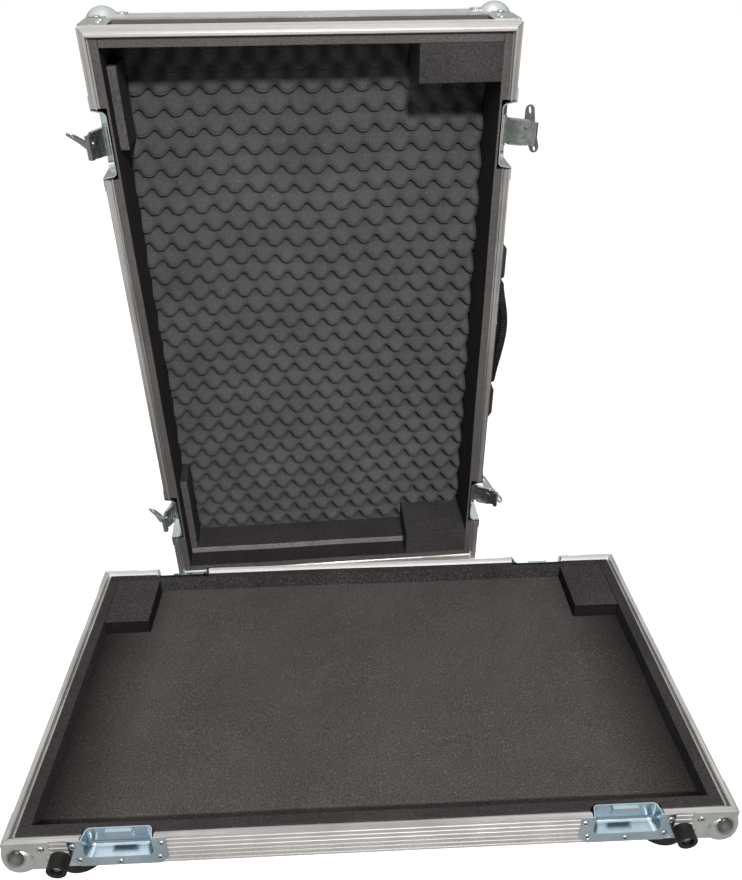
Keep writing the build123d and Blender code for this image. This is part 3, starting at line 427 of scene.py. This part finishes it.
head_reach = 0.0095
ring_profile = np.array((
    (4.3, 0.0), (4.2, 0.45), (3.7, 1.05), (2.9, 1.45), (2.1, 1.5), (1.65, 1.2), (1.5, 0.5), (0.0, 0.35),
)) / 1000
ring_sides = 20
hole_shade_bands = 1
rivet_steel = zinc_plate("rivet_steel", (0.62, 0.63, 0.62), (0.4, 0.41, 0.4), 0.003, 0.2, 0.34)
# This dark finish serves the mandrel stub, which is really dark, and also the inner wall of each head's
# hole, where it is painted shade.
mandrel = plain_finish("mandrel_stub", (0.035, 0.033, 0.031), 0.55, 0.6)
rust = noise(mandrel, 0.0008)
feed(mandrel, two_tone(mandrel, rust, 0.35, 0.7, (0.02, 0.018, 0.017), (0.07, 0.06, 0.05)), "Base Color")
for name, body in (("base_rivets", "base"), ("lid_rivets", "lid")):
    feet, axes = cad_heads(name, head_reach)
    points, quads, caps = turned(ring_profile, ring_sides, feet, axes)
    faces = quads.reshape(-1, 4).tolist() + caps.reshape(-1, 3).tolist()
    rings = form("ring_" + name, points, faces, [rivet_steel, mandrel], body, name)
    # Painted shade: the last band of each ring, the wall of its hole, takes the dark finish for the shade in
    # the hollow.
    dark = np.zeros(quads.shape[:3], int)
    dark[:, -hole_shade_bands:] = 1
    stub_and_hole_shade = np.concatenate((dark.ravel(), np.ones(caps.size // 3, int)))
    rings.data.polygons.foreach_set("material_index", stub_and_hole_shade)
dress(rivet_steel, "base_foot_screws", "side_foot_screws", "handle_screws", "lid_hinge_pins")


# Feet: turned black rubber with a well for the screw, large under the tray and small on its front side.
# The moulding is smooth and a little shiny where it is clean, with dust on the flats.
rubber = plain_finish("black_rubber", (0.01, 0.0095, 0.0095), 0.42)
dust = noise(rubber, 0.012, detail=6.0)
skin = noise(rubber, 0.0009)
feed(rubber, two_tone(rubber, dust, 0.42, 0.75, (0.006, 0.0057, 0.0057), (0.02, 0.019, 0.018)), "Base Color")
feed(rubber, between(rubber, dust, 0.32, 0.55), "Roughness")
feed(rubber, relief(rubber, skin, 0.00012, 0.4), "Normal")
rubber.node_tree.nodes["Principled BSDF"].inputs["Specular IOR Level"].default_value = 0.2
dress(rubber, "base_feet", "side_feet")


# Handle: a ribbed rubber strap bowed between two moulded caps, each held by one domed screw. The strap is
# thick between the caps, with ribs across its outer face, and thins to flat tongues that lie in the caps.
handle_middle = -0.006
handle_level = 0.055
strap_knots = np.array(((-0.0865, 0.0045), (0.02, 0.0155), (0.0865, 0.0045)))
strap_tongue = 0.033
strap_width = 0.025
strap_thickness = 0.005
grip_thickness = 0.012
grip_reach = 0.08
grip_end = 0.006
rib_pitch = 0.0042
rib_depth = 0.0016
rib_notch = 0.0008
line_step = 0.0006
section_points = 28


def bowed_line(knots, tongue, step):
    """The strap's line: two cubic runs through three knots, level at both ends and smooth at the middle one,
    with a straight tongue before and after."""
    runs = np.linalg.norm(np.diff(knots, axis=0), axis=1)
    level = np.array((1.0, 0.0))
    rise = np.diff(knots, axis=0)
    slope = 3 * (rise[0] * runs[1] / runs[0] + rise[1] * runs[0] / runs[1]) - (runs[0] + runs[1]) * level
    slope = slope / (2 * runs.sum())
    tangents = (level, slope, level)
    lead = np.arange(-tongue, 0, step)
    tail = np.arange(0, tongue, step)
    line = [np.stack((lead + knots[0, 0], np.full(len(lead), knots[0, 1])), 1)]
    for run in range(2):
        t = np.arange(0, 1, step / runs[run])[:, None]
        line.append(
            (2 * t**3 - 3 * t**2 + 1) * knots[run]
            + (t**3 - 2 * t**2 + t) * runs[run] * tangents[run]
            + (3 * t**2 - 2 * t**3) * knots[run + 1]
            + (t**3 - t**2) * runs[run] * tangents[run + 1]
        )
    line.append(np.stack((tail + knots[2, 0], np.full(len(tail), knots[2, 1])), 1))
    return np.concatenate(line)


cap_plastic = plain_finish("cap_plastic", (0.024, 0.0235, 0.024), 0.42)
sparkle = noise(cap_plastic, 0.0011)
rub = noise(cap_plastic, 0.02, detail=5.0)
cap_colour = two_tone(cap_plastic, rub, 0.4, 0.7, (0.018, 0.0175, 0.018), (0.045, 0.044, 0.043))
feed(cap_plastic, cap_colour, "Base Color")
feed(cap_plastic, between(cap_plastic, rub, 0.36, 0.55), "Roughness")
feed(cap_plastic, relief(cap_plastic, sparkle, 0.0002, 0.5), "Normal")
dress(cap_plastic, "handle_caps")

line = bowed_line(strap_knots, strap_tongue, line_step)
along = np.gradient(line, axis=0)
along = along / np.linalg.norm(along, axis=1)[:, None]
outward = np.stack((-along[:, 1], along[:, 0]), 1)
run = np.concatenate(((0,), np.cumsum(np.linalg.norm(np.diff(line, axis=0), axis=1))))
grip = np.clip((grip_reach - np.abs(line[:, 0])) / grip_end, 0, 1)
wave = np.abs(np.sin(pi * run / rib_pitch)) ** 0.7
thickness = strap_thickness + (grip_thickness - strap_thickness) * grip - rib_depth * grip * (1 - wave)
half_width = strap_width / 2 - rib_notch * grip * (1 - wave)
section_turn = np.linspace(0, 2 * pi, section_points, endpoint=False)
section_side = np.sign(np.cos(section_turn)) * np.abs(np.cos(section_turn)) ** 0.3
section_rise = 0.5 + 0.5 * np.sign(np.sin(section_turn)) * np.abs(np.sin(section_turn)) ** 0.35
flat = line[:, None] + outward[:, None] * (section_rise[None] * thickness[:, None])[..., None]
strap_points = np.stack((
    handle_middle + flat[..., 0],
    case_half_depth + flat[..., 1],
    handle_level + half_width[:, None] * section_side[None],
), -1)
number = np.arange(strap_points[..., 0].size).reshape(strap_points.shape[:2])
after = np.roll(number, -1, 1)
strap_faces = np.stack((number[:-1], number[1:], after[1:], after[:-1]), -1).reshape(-1, 4).tolist()
strap_faces += [number[0].tolist(), number[-1, ::-1].tolist()]
strap_place = in_lid(strap_points.reshape(-1, 3))
form("ribbed_strap", strap_place, strap_faces, [rubber], "lid", "handle_strap")


# Foam of the tray: dark grey open-cell foam cut from sheet and glued in. A floor sheet is cut round two rear
# blocks, which hold the controller's corners, and linings stand on the walls, behind the rail's inner leg
# and cut away behind the dishes. The floor is painted darker towards its ends, a painted shade for the
# shadow of the end linings, and paler in a narrow strip along its front, a painted light that thins the
# shadow of the front lining.
board_face = 0.0086
leg_face = 0.0102
dish_middle = 0.275
dish_half_room = 0.039
dish_depth = 0.017
tray_lining_face = 0.0242
panel_top = 0.0291
dish_bottom = 0.0333
floor_top = 0.04
leg_bottom = 0.05
rim_top = 0.06
floor_half_length = case_half_length - tray_lining_face
floor_half_depth = case_half_depth - tray_lining_face
lining_half_length = 0.3848
block_side = 0.3075
block_front = 0.1245
end_shade_start = 0.285
front_light_start = -0.197
front_light_full = -0.203


def foam_finish(
    name, pore, wall, cell, lint, crease_shade=None, grain=0.22, grain_width=0.0032, fleck=(0.011, 0.035, 0.06),
):
    """Foam skin: broad clouds from the pore tone to the wall tone, cells that are dark in their pores, a
    coarse grain of the given strength, an optional attribute of painted shade that darkens the creases and
    pits, and pale flecks of lint round scattered points, given as their spacing and the shares of it where a
    fleck is full and has faded out."""
    foam = plain_finish(name, wall, 1.0)
    foam.node_tree.nodes["Principled BSDF"].inputs["Specular IOR Level"].default_value = 0.15
    pores = cells(foam, cell)
    spacing, full, faded = fleck
    tone = two_tone(foam, noise(foam, 0.07, detail=6.0), 0.3, 0.7, pore, wall)
    tone = times(foam, tone, two_tone(foam, pores, 0.15, 0.75, (1, 1, 1), (0.62, 0.62, 0.62)))
    grains = noise(foam, grain_width)
    tone = times(foam, tone, two_tone(foam, grains, 0.3, 0.7, (1 - grain,) * 3, (1 + grain,) * 3))
    if crease_shade is not None:
        # Painted shade: the attribute darkens the foam down to 0.08 of its tone in creases and pits.
        depth = add_node(foam, "Attribute", attribute_name=crease_shade).outputs["Fac"]
        tone = times(foam, tone, two_tone(foam, depth, 0.0, 1.0, (1, 1, 1), (0.08, 0.08, 0.08)))
    near = two_tone(foam, cells(foam, spacing), full, faded, (lint, lint, lint), (0, 0, 0))
    dusty = add_node(foam, "Mix", data_type="RGBA")
    foam.node_tree.links.new(near, dusty.inputs["Factor"])
    foam.node_tree.links.new(tone, dusty.inputs[6])
    dusty.inputs[7].default_value = (0.5, 0.49, 0.47, 1)
    feed(foam, dusty.outputs[2], "Base Color")
    feed(foam, relief(foam, pores, 0.0004, 0.4), "Normal")
    return foam


def spaced(marks, step):
    """Grid lines through every mark, with even steps between them no longer than step."""
    counts = np.maximum(np.ceil(np.diff(marks) / step - 1e-9).astype(int), 1)
    runs = zip(marks[:-1], marks[1:], counts)
    parts = [np.linspace(low, high, count, endpoint=False) for low, high, count in runs]
    return np.concatenate(parts + [marks[-1:]])


def both_sides(*marks):
    """The marks and their mirror images about 0, in rising order."""
    return np.sort(np.concatenate((marks, np.negative(marks))))


def foam_skin(lines, is_foam):
    """The skin of a foam piece: the grid lines divide space into cells, is_foam says of each cell's middle
    whether it is foam, and a face stands wherever foam meets air, looking out."""
    middles = np.meshgrid(*[(line[1:] + line[:-1]) / 2 for line in lines], indexing="ij")
    foam = is_foam(*middles)
    number = np.arange(lines[0].size * lines[1].size * lines[2].size)
    number = number.reshape([line.size for line in lines])
    faces = []
    for axis in range(3):
        order = (axis, (axis + 1) % 3, (axis + 2) % 3)
        step = np.diff(np.pad(foam.transpose(order).astype(int), ((1, 1), (0, 0), (0, 0))), axis=0)
        n = number.transpose(order)
        square = np.stack((n[:, :-1, :-1], n[:, 1:, :-1], n[:, 1:, 1:], n[:, :-1, 1:]), -1)
        faces += [square[step < 0], square[step > 0][:, ::-1]]
    faces = np.concatenate(faces)
    used, index = np.unique(faces, return_inverse=True)
    points = np.stack(np.meshgrid(*lines, indexing="ij"), -1).reshape(-1, 3)[used]
    return points, index.reshape(-1, 4)


def wander(points, reach):
    """Hand-cut faces: each point moves by products of slow sines of the other two coordinates."""
    x, y, z = points.T
    return points + reach * np.stack((
        np.sin(31 * y + 1.1) * np.sin(47 * z + 0.4),
        np.sin(23 * x + 0.7) * np.sin(41 * z + 2.0),
        np.sin(19 * x + 2.2) * np.sin(27 * y + 0.9),
    ), 1)


def foam_piece(name, lines, is_foam, to_world, skins, body, soft_edge=0.0012, reach=0.0003):
    """A foam piece in its own frame: its skin moved by slow waves, carried to its place, with soft edges.
    Faces that look along the frame's Z axis take the second finish, and the others the first."""
    points, faces = foam_skin(lines, is_foam)
    place = to_world(wander(points, reach))
    piece = form(name + "_soft", place, faces.tolist(), skins, body, name)
    looks_along_z = np.ptp(points[faces][:, :, 2], axis=1) < 1e-6
    piece.data.polygons.foreach_set("material_index", looks_along_z.astype(int))
    edge = piece.modifiers.new("soft_edge", "BEVEL")
    edge.width = soft_edge
    edge.segments = 2
    edge.limit_method = "ANGLE"
    edge.angle_limit = radians(60)
    edge.harden_normals = True


def lining(long_axis, half_run, half_across, face, behind_leg, beside_dish=None):
    """A lining's cells, by their distance inwards from the case's outer face: from the board to the lining's
    face, but from the rail's inner leg where that hangs before it, less the room behind each dish."""
    def is_foam(x, y, z):
        inward = half_across - np.abs((x, y)[1 - long_axis])
        run = np.abs((x, y)[long_axis])
        foam = (inward > board_face) & (inward < face) & (run < half_run)
        foam &= (inward > leg_face) | behind_leg(z)
        if beside_dish is not None:
            foam &= ~((np.abs(run - dish_middle) < dish_half_room) & (inward < dish_depth) & beside_dish(z))
        return foam
    return is_foam


floor_grey = foam_finish(
    "floor_foam", (0.118, 0.104, 0.102), (0.142, 0.127, 0.124), 0.0013, 0.55,
    grain=0.42, grain_width=0.0021, fleck=(0.0058, 0.07, 0.13),
)
lining_grey = foam_finish("lining_foam", (0.06, 0.054, 0.056), (0.085, 0.078, 0.08), 0.0016, 0.25)
rear_lining_grey = foam_finish(
    "rear_lining_foam", (0.05, 0.045, 0.047), (0.074, 0.067, 0.069), 0.0016, 0.65,
    grain=0.55, grain_width=0.0024, fleck=(0.0048, 0.08, 0.15),
)
# Painted shade: the blocks' sides are painted far darker than their tops, for light that falls on the tray
# from above.
block_shaded_side = foam_finish("block_foam", (0.012, 0.0105, 0.0115), (0.02, 0.0175, 0.019), 0.0018, 0.2)
block_top_grey = foam_finish(
    "block_top_foam", (0.068, 0.061, 0.063), (0.097, 0.089, 0.091), 0.0018, 0.45,
    grain=0.5, grain_width=0.0024, fleck=(0.0052, 0.08, 0.14),
)
place = add_node(floor_grey, "TexCoord").outputs["Object"]
place = add_node(floor_grey, "VectorMath", {0: place, 1: base_middle.tolist()}, operation="SUBTRACT")
apart = add_node(floor_grey, "SeparateXYZ", {"Vector": place.outputs["Vector"]}).outputs
sideways = add_node(floor_grey, "Math", {0: apart["X"]}, operation="ABSOLUTE").outputs[0]
end_links = {"Value": sideways, "From Min": end_shade_start, "From Max": floor_half_length}
front_links = {"Value": apart["Y"], "From Min": front_light_start, "From Max": front_light_full}
by_end = add_node(floor_grey, "MapRange", end_links).outputs["Result"]
by_front = add_node(floor_grey, "MapRange", front_links).outputs["Result"]
# Painted shade towards the floor's ends, for the end linings' shadow, and painted light along its front,
# which thins the front lining's shadow.
end_shade = two_tone(floor_grey, by_end, 0.0, 1.0, (1, 1, 1), (0.25, 0.25, 0.25))
painted_front_light = two_tone(floor_grey, by_front, 0.0, 1.0, (1, 1, 1), (1.55, 1.5, 1.45))
floor_tone = times(floor_grey, fed(floor_grey, "Base Color"), end_shade)
feed(floor_grey, times(floor_grey, floor_tone, painted_front_light), "Base Color")

base_levels = spaced((panel_top, dish_bottom, leg_bottom, rim_top), 0.012)
dish_marks = both_sides(dish_middle - dish_half_room, dish_middle + dish_half_room, lining_half_length)
foam_piece(
    "base_floor_foam",
    (
        spaced(both_sides(block_side, floor_half_length), 0.012),
        spaced((-floor_half_depth, block_front, floor_half_depth), 0.012),
        spaced((panel_top, floor_top), 0.02),
    ),
    lambda x, y, z: ~((np.abs(x) > block_side) & (y > block_front)),
    in_base, [floor_grey, floor_grey], "base", reach=0.0006,
)
tray_linings = ((-1, "base_front_lining", lining_grey), (1, "base_rear_lining", rear_lining_grey))
for side, name, finish in tray_linings:
    depths = side * (case_half_depth - np.array((board_face, leg_face, dish_depth, tray_lining_face)))
    foam_piece(
        name,
        (spaced(dish_marks, 0.012), spaced(np.sort(depths), 0.008), base_levels),
        lining(
            0, lining_half_length, case_half_depth, tray_lining_face,
            lambda z: z < leg_bottom, lambda z: z > dish_bottom,
        ),
        in_base, [finish, finish], "base",
    )
end_marks = both_sides(*(case_half_length - np.array((board_face, leg_face, tray_lining_face))))
foam_piece(
    "base_end_linings",
    (spaced(end_marks, 0.008), spaced(both_sides(floor_half_depth), 0.012), base_levels),
    lining(1, floor_half_depth, case_half_length, tray_lining_face, lambda z: z < leg_bottom),
    in_base, [lining_grey, lining_grey], "base",
)
foam_piece(
    "base_corner_blocks",
    (
        spaced(both_sides(block_side, floor_half_length), 0.01),
        spaced((block_front, floor_half_depth), 0.01),
        spaced((panel_top, rim_top), 0.01),
    ),
    lambda x, y, z: np.abs(x) > block_side,
    in_base, [block_shaded_side, block_top_grey], "base", soft_edge=0.0018, reach=0.0005,
)


def within(x, y, outline, margin=0.0):
    """Whether points lie in an outline of (lowest x, highest x, lowest y, highest y) widened by a margin."""
    low_x, high_x, low_y, high_y = outline
    return (x > low_x - margin) & (x < high_x + margin) & (y > low_y - margin) & (y < high_y + margin)


# Foam linings, blocks and strips of the lid, which close round the controller's top: cut from the same sheet
# as the tray's, and glued to the walls and over the egg-crate foam. Their faces towards the rim take copies
# of the side finishes that are painted for how light falls on them: paler on the linings and strips, a
# painted light, and a little darker on the blocks, a painted shade.
lid_lining_face = 0.0202
lid_rim = 0.0015
lid_leg_end = 0.012
lid_dish_end = 0.0517
lid_floor = 0.1064
bed_half_length = case_half_length - lid_lining_face
bed_half_width = case_half_depth - lid_lining_face
pressed_level = 0.09
block_rim = 0.0005
upper_strip_rim = 0.028
lower_strip_rim = 0.035
upper_block = (0.3335, bed_half_length, 0.13, bed_half_width)
lower_block = (-bed_half_length, -0.333, 0.129, bed_half_width)
upper_strip = (0.262, 0.353, -bed_half_width, -0.2163)
lower_strip = (-0.3638, -0.2298, -bed_half_width, -0.2163)
end_strip = (-bed_half_length, -0.3638, -bed_half_width, 0.129)
# Painted light and shade: each finish for rim-facing faces below is a paler or darker copy of the side
# finish of its piece.
strip_grey = foam_finish("strip_foam", (0.055, 0.05, 0.054), (0.075, 0.069, 0.073), 0.0014, 0.3)
strip_rim_lit = foam_finish("strip_cut_foam", (0.12, 0.113, 0.115), (0.16, 0.151, 0.153), 0.0014, 0.3)
end_strip_rim_lit = foam_finish("end_strip_cut_foam", (0.28, 0.265, 0.272), (0.38, 0.36, 0.366), 0.0014, 0.3)
lid_block_rim_shaded = foam_finish("lid_block_cut_foam", (0.055, 0.051, 0.054), (0.076, 0.071, 0.075), 0.0018, 0.3)
lid_block_grey = foam_finish("lid_block_foam", (0.06, 0.055, 0.058), (0.085, 0.079, 0.082), 0.0018, 0.3)
wall_grey = foam_finish("lid_lining_foam", (0.032, 0.028, 0.03), (0.048, 0.043, 0.046), 0.0015, 0.25)
lining_rim_lit = foam_finish(
    "lid_lining_cut_foam", (0.12, 0.114, 0.111), (0.15, 0.143, 0.139), 0.0015, 0.25, grain=0.08,
)
lid_levels = spaced((lid_rim, lid_leg_end, lid_dish_end, lid_floor), 0.014)
faces_inward = np.array((board_face, leg_face, dish_depth, lid_lining_face))
side_marks = both_sides(*(case_half_depth - faces_inward))
foam_piece(
    "lid_side_linings",
    (spaced(dish_marks, 0.012), side_marks, lid_levels),
    lining(
        0, lining_half_length, case_half_depth, lid_lining_face,
        lambda z: z > lid_leg_end, lambda z: z < lid_dish_end,
    ),
    in_lid, [wall_grey, lining_rim_lit], "lid",
)
end_marks = both_sides(*(case_half_length - np.array((board_face, leg_face, lid_lining_face))))
foam_piece(
    "lid_end_linings",
    (end_marks, spaced(both_sides(bed_half_width), 0.012), lid_levels),
    lining(1, bed_half_width, case_half_length, lid_lining_face, lambda z: z > lid_leg_end),
    in_lid, [wall_grey, lining_rim_lit], "lid",
)
foam_piece(
    "lid_corner_blocks",
    (
        spaced((*lower_block[:2], *upper_block[:2]), 0.01),
        spaced((lower_block[2], *upper_block[2:]), 0.01),
        spaced((block_rim, pressed_level), 0.01),
    ),
    lambda x, y, z: within(x, y, lower_block) | within(x, y, upper_block),
    in_lid, [lid_block_grey, lid_block_rim_shaded], "lid", soft_edge=0.0018, reach=0.0005,
)
foam_piece(
    "lid_side_strips",
    (
        spaced((*lower_strip[:2], *upper_strip[:2]), 0.012),
        spaced(upper_strip[2:], 0.02),
        spaced((upper_strip_rim, lower_strip_rim, pressed_level), 0.01),
    ),
    lambda x, y, z: within(x, y, upper_strip) | (within(x, y, lower_strip) & (z > lower_strip_rim)),
    in_lid, [strip_grey, strip_rim_lit], "lid",
)
foam_piece(
    "lid_end_strip",
    (
        spaced(end_strip[:2], 0.02),
        spaced(end_strip[2:], 0.012),
        spaced((lower_strip_rim, pressed_level), 0.01),
    ),
    lambda x, y, z: within(x, y, end_strip),
    in_lid, [strip_grey, end_strip_rim_lit], "lid",
)


# Egg-crate foam on the lid's back: one sheet of open-cell foam, moulded in staggered rows of round bumps
# that hang over the row below like scales, glued in and pressed flat under the blocks and strips. The wave
# of its rows and their depth, less at the top than at the bottom, are measured from the photograph.
wave_tip = 0.078
wave_pitch = 0.0311
wave_row = 0.0238
wave_swing = 0.165
wave_crest = 0.2
wave_shift_up = 0.0073
wave_shift_across = 0.0098
wave_end = 0.014
tip_to_pit = 0.01
fall_depth = 0.0095
fall_more = 0.002
lip_depth = 0.0018
lip_share = 0.16
step_share = 0.15
press_margin = 0.001
sheet_height = 0.75
settling_steps = 60
least_gap = 0.02
crate_reach = 0.0012
wave_grey = foam_finish(
    "wave_foam", (0.112, 0.109, 0.111), (0.144, 0.14, 0.142), 0.0012, 0.6, crease_shade="crease_shade", grain=0.07,
)


def row_lines(rank, turn):
    """How high a grid that follows the rows lies: each line swings by one cosine per bump, the other way in
    the next row, less near the sheet's ends, and with broader crests by a cosine of twice the turn. The
    swing rests on the height itself, so it is worked out again until it settles. Gives the row's cosine and
    the swing as well."""
    up = rank * wave_row
    for _ in range(settling_steps):
        near_end = np.clip((bed_half_length - np.abs(up)) / wave_end, 0, 1)
        crest = np.cos(pi * (up - wave_shift_up) / wave_row)
        stagger = crest * np.cos(turn) + wave_crest * crest**2 * np.cos(2 * turn)
        up = wave_row * (rank + wave_swing * near_end * stagger)
    return up, crest, stagger


def egg_crate(ranks, across):
    """The sheet's front, and the painted shade of its recesses. Going up a row from its lower edge, the foam
    falls back from the lip, ever faster, and in the last share of the row it steps out again to the next
    lip. Bumps stand foremost where the swing is low, and pits lie deepest where it is high. The painted
    shade is darkest in the crease under a lip, more so on one flank of each bump as a painted shadow of the
    lamp, and lighter in the pits. The relief and the creases grow down the lid, as they do in the
    photograph."""
    turn = 2 * pi * (across[None] - wave_shift_across) / wave_pitch
    rank = ranks[:, None] + 0 * turn
    up, crest, stagger = row_lines(rank, turn)
    share = np.mod(rank - wave_shift_up / wave_row, 1.0)
    step_out = np.clip((share - 1 + step_share) / step_share, 0, 1)
    step_back = 1 - step_out**2 * (3 - 2 * step_out)
    fall = np.where(share < 1 - step_share, share / (1 - step_share), step_back)
    low_down = np.clip(0.5 - up / sheet_height, 0, 1)
    cut = (0.5 + 0.6 * low_down) * (fall_depth + fall_more * stagger)
    depth = wave_tip + tip_to_pit / 2 * (1 + stagger) + cut * fall ** (1.2 - 0.35 * stagger)
    depth = depth + lip_depth * np.clip(1 - share / lip_share, 0, 1) ** 2
    for outline in (upper_block, lower_block, upper_strip, lower_strip, end_strip):
        under = within(up, across, outline, press_margin)
        depth = np.where(under, np.maximum(depth, pressed_level), depth)

    # Painted shade: dark in the crease under each lip, more on one flank as a painted shadow of the lamp,
    # lighter in the pits, and faint all over the top of the sheet.
    first_dark = 0.74 - 0.26 * low_down
    full_dark = 0.8 - 0.1 * low_down
    clear = np.clip((0.98 - share) / 0.12, 0, 1)
    flank = 0.55 + 0.42 * np.clip(crest * np.sin(turn), -1, 1)
    crease = clear * np.clip((share - first_dark) / (full_dark - first_dark), 0, 1)
    crease = crease * flank * (0.25 + 1.15 * low_down)
    pit = 0.42 * clear * np.clip(stagger, 0, 1) * np.clip((share - 0.3) / 0.5, 0, 1)
    crease_shade = np.clip(np.maximum(crease, pit), 0.2 * (1 - low_down), 1)
    return np.stack((up, across[None] + 0 * up, depth), -1), crease_shade


def backed(front, back_level):
    """A closed sheet: the grid of its front, four sides that run to a flat back, and the back, one face."""
    rows, columns = front.shape[:2]
    number = np.arange(rows * columns).reshape(rows, columns)
    rim = np.concatenate((number[0, :-1], number[:-1, -1], number[-1, :0:-1], number[:0:-1, 0]))
    below = front.reshape(-1, 3)[rim] * (1, 1, 0) + (0, 0, back_level)
    lower = rows * columns + np.arange(rim.size)
    quads = np.stack((number[:-1, :-1], number[:-1, 1:], number[1:, 1:], number[1:, :-1]), -1)
    sides = np.stack((rim, lower, np.roll(lower, -1), np.roll(rim, -1)), -1)
    faces = quads.reshape(-1, 4).tolist() + sides.tolist() + [lower[::-1].tolist()]
    return np.concatenate((front.reshape(-1, 3), below)), faces


row_shares = np.array((
    0.03, 0.1, 0.2, 0.3, 0.42, 0.54, 0.65, 0.74, 0.8, 0.84, 0.88, 0.91, 0.94, 0.97, 1.0,
))
across_step = 0.0023
last_rank = bed_half_length / wave_row
shift = wave_shift_up / wave_row
first_rank = int(np.ceil(-last_rank - shift)) + shift
ranks = (np.arange(first_rank - 1, last_rank + 1)[:, None] + row_shares[None]).ravel()
ranks = ranks[(ranks > -last_rank + least_gap) & (ranks < last_rank - least_gap)]
ranks = np.concatenate(((-last_rank,), ranks, (last_rank,)))
crate_front, crate_crease_shade = egg_crate(ranks, spaced(both_sides(bed_half_width), across_step))
crate_points, crate_faces = backed(crate_front, lid_floor)
crate_place = in_lid(wander(crate_points, crate_reach))
crate = form(
    "lid_wave_foam_soft", crate_place, crate_faces, [wave_grey], "lid", "lid_wave_foam",
)
crate_crease_shade = np.pad(crate_crease_shade.ravel(), (0, len(crate_points) - crate_crease_shade.size))
crease_shade_layer = crate.data.attributes.new("crease_shade", "FLOAT", "POINT")
crease_shade_layer.data.foreach_set("value", crate_crease_shade)
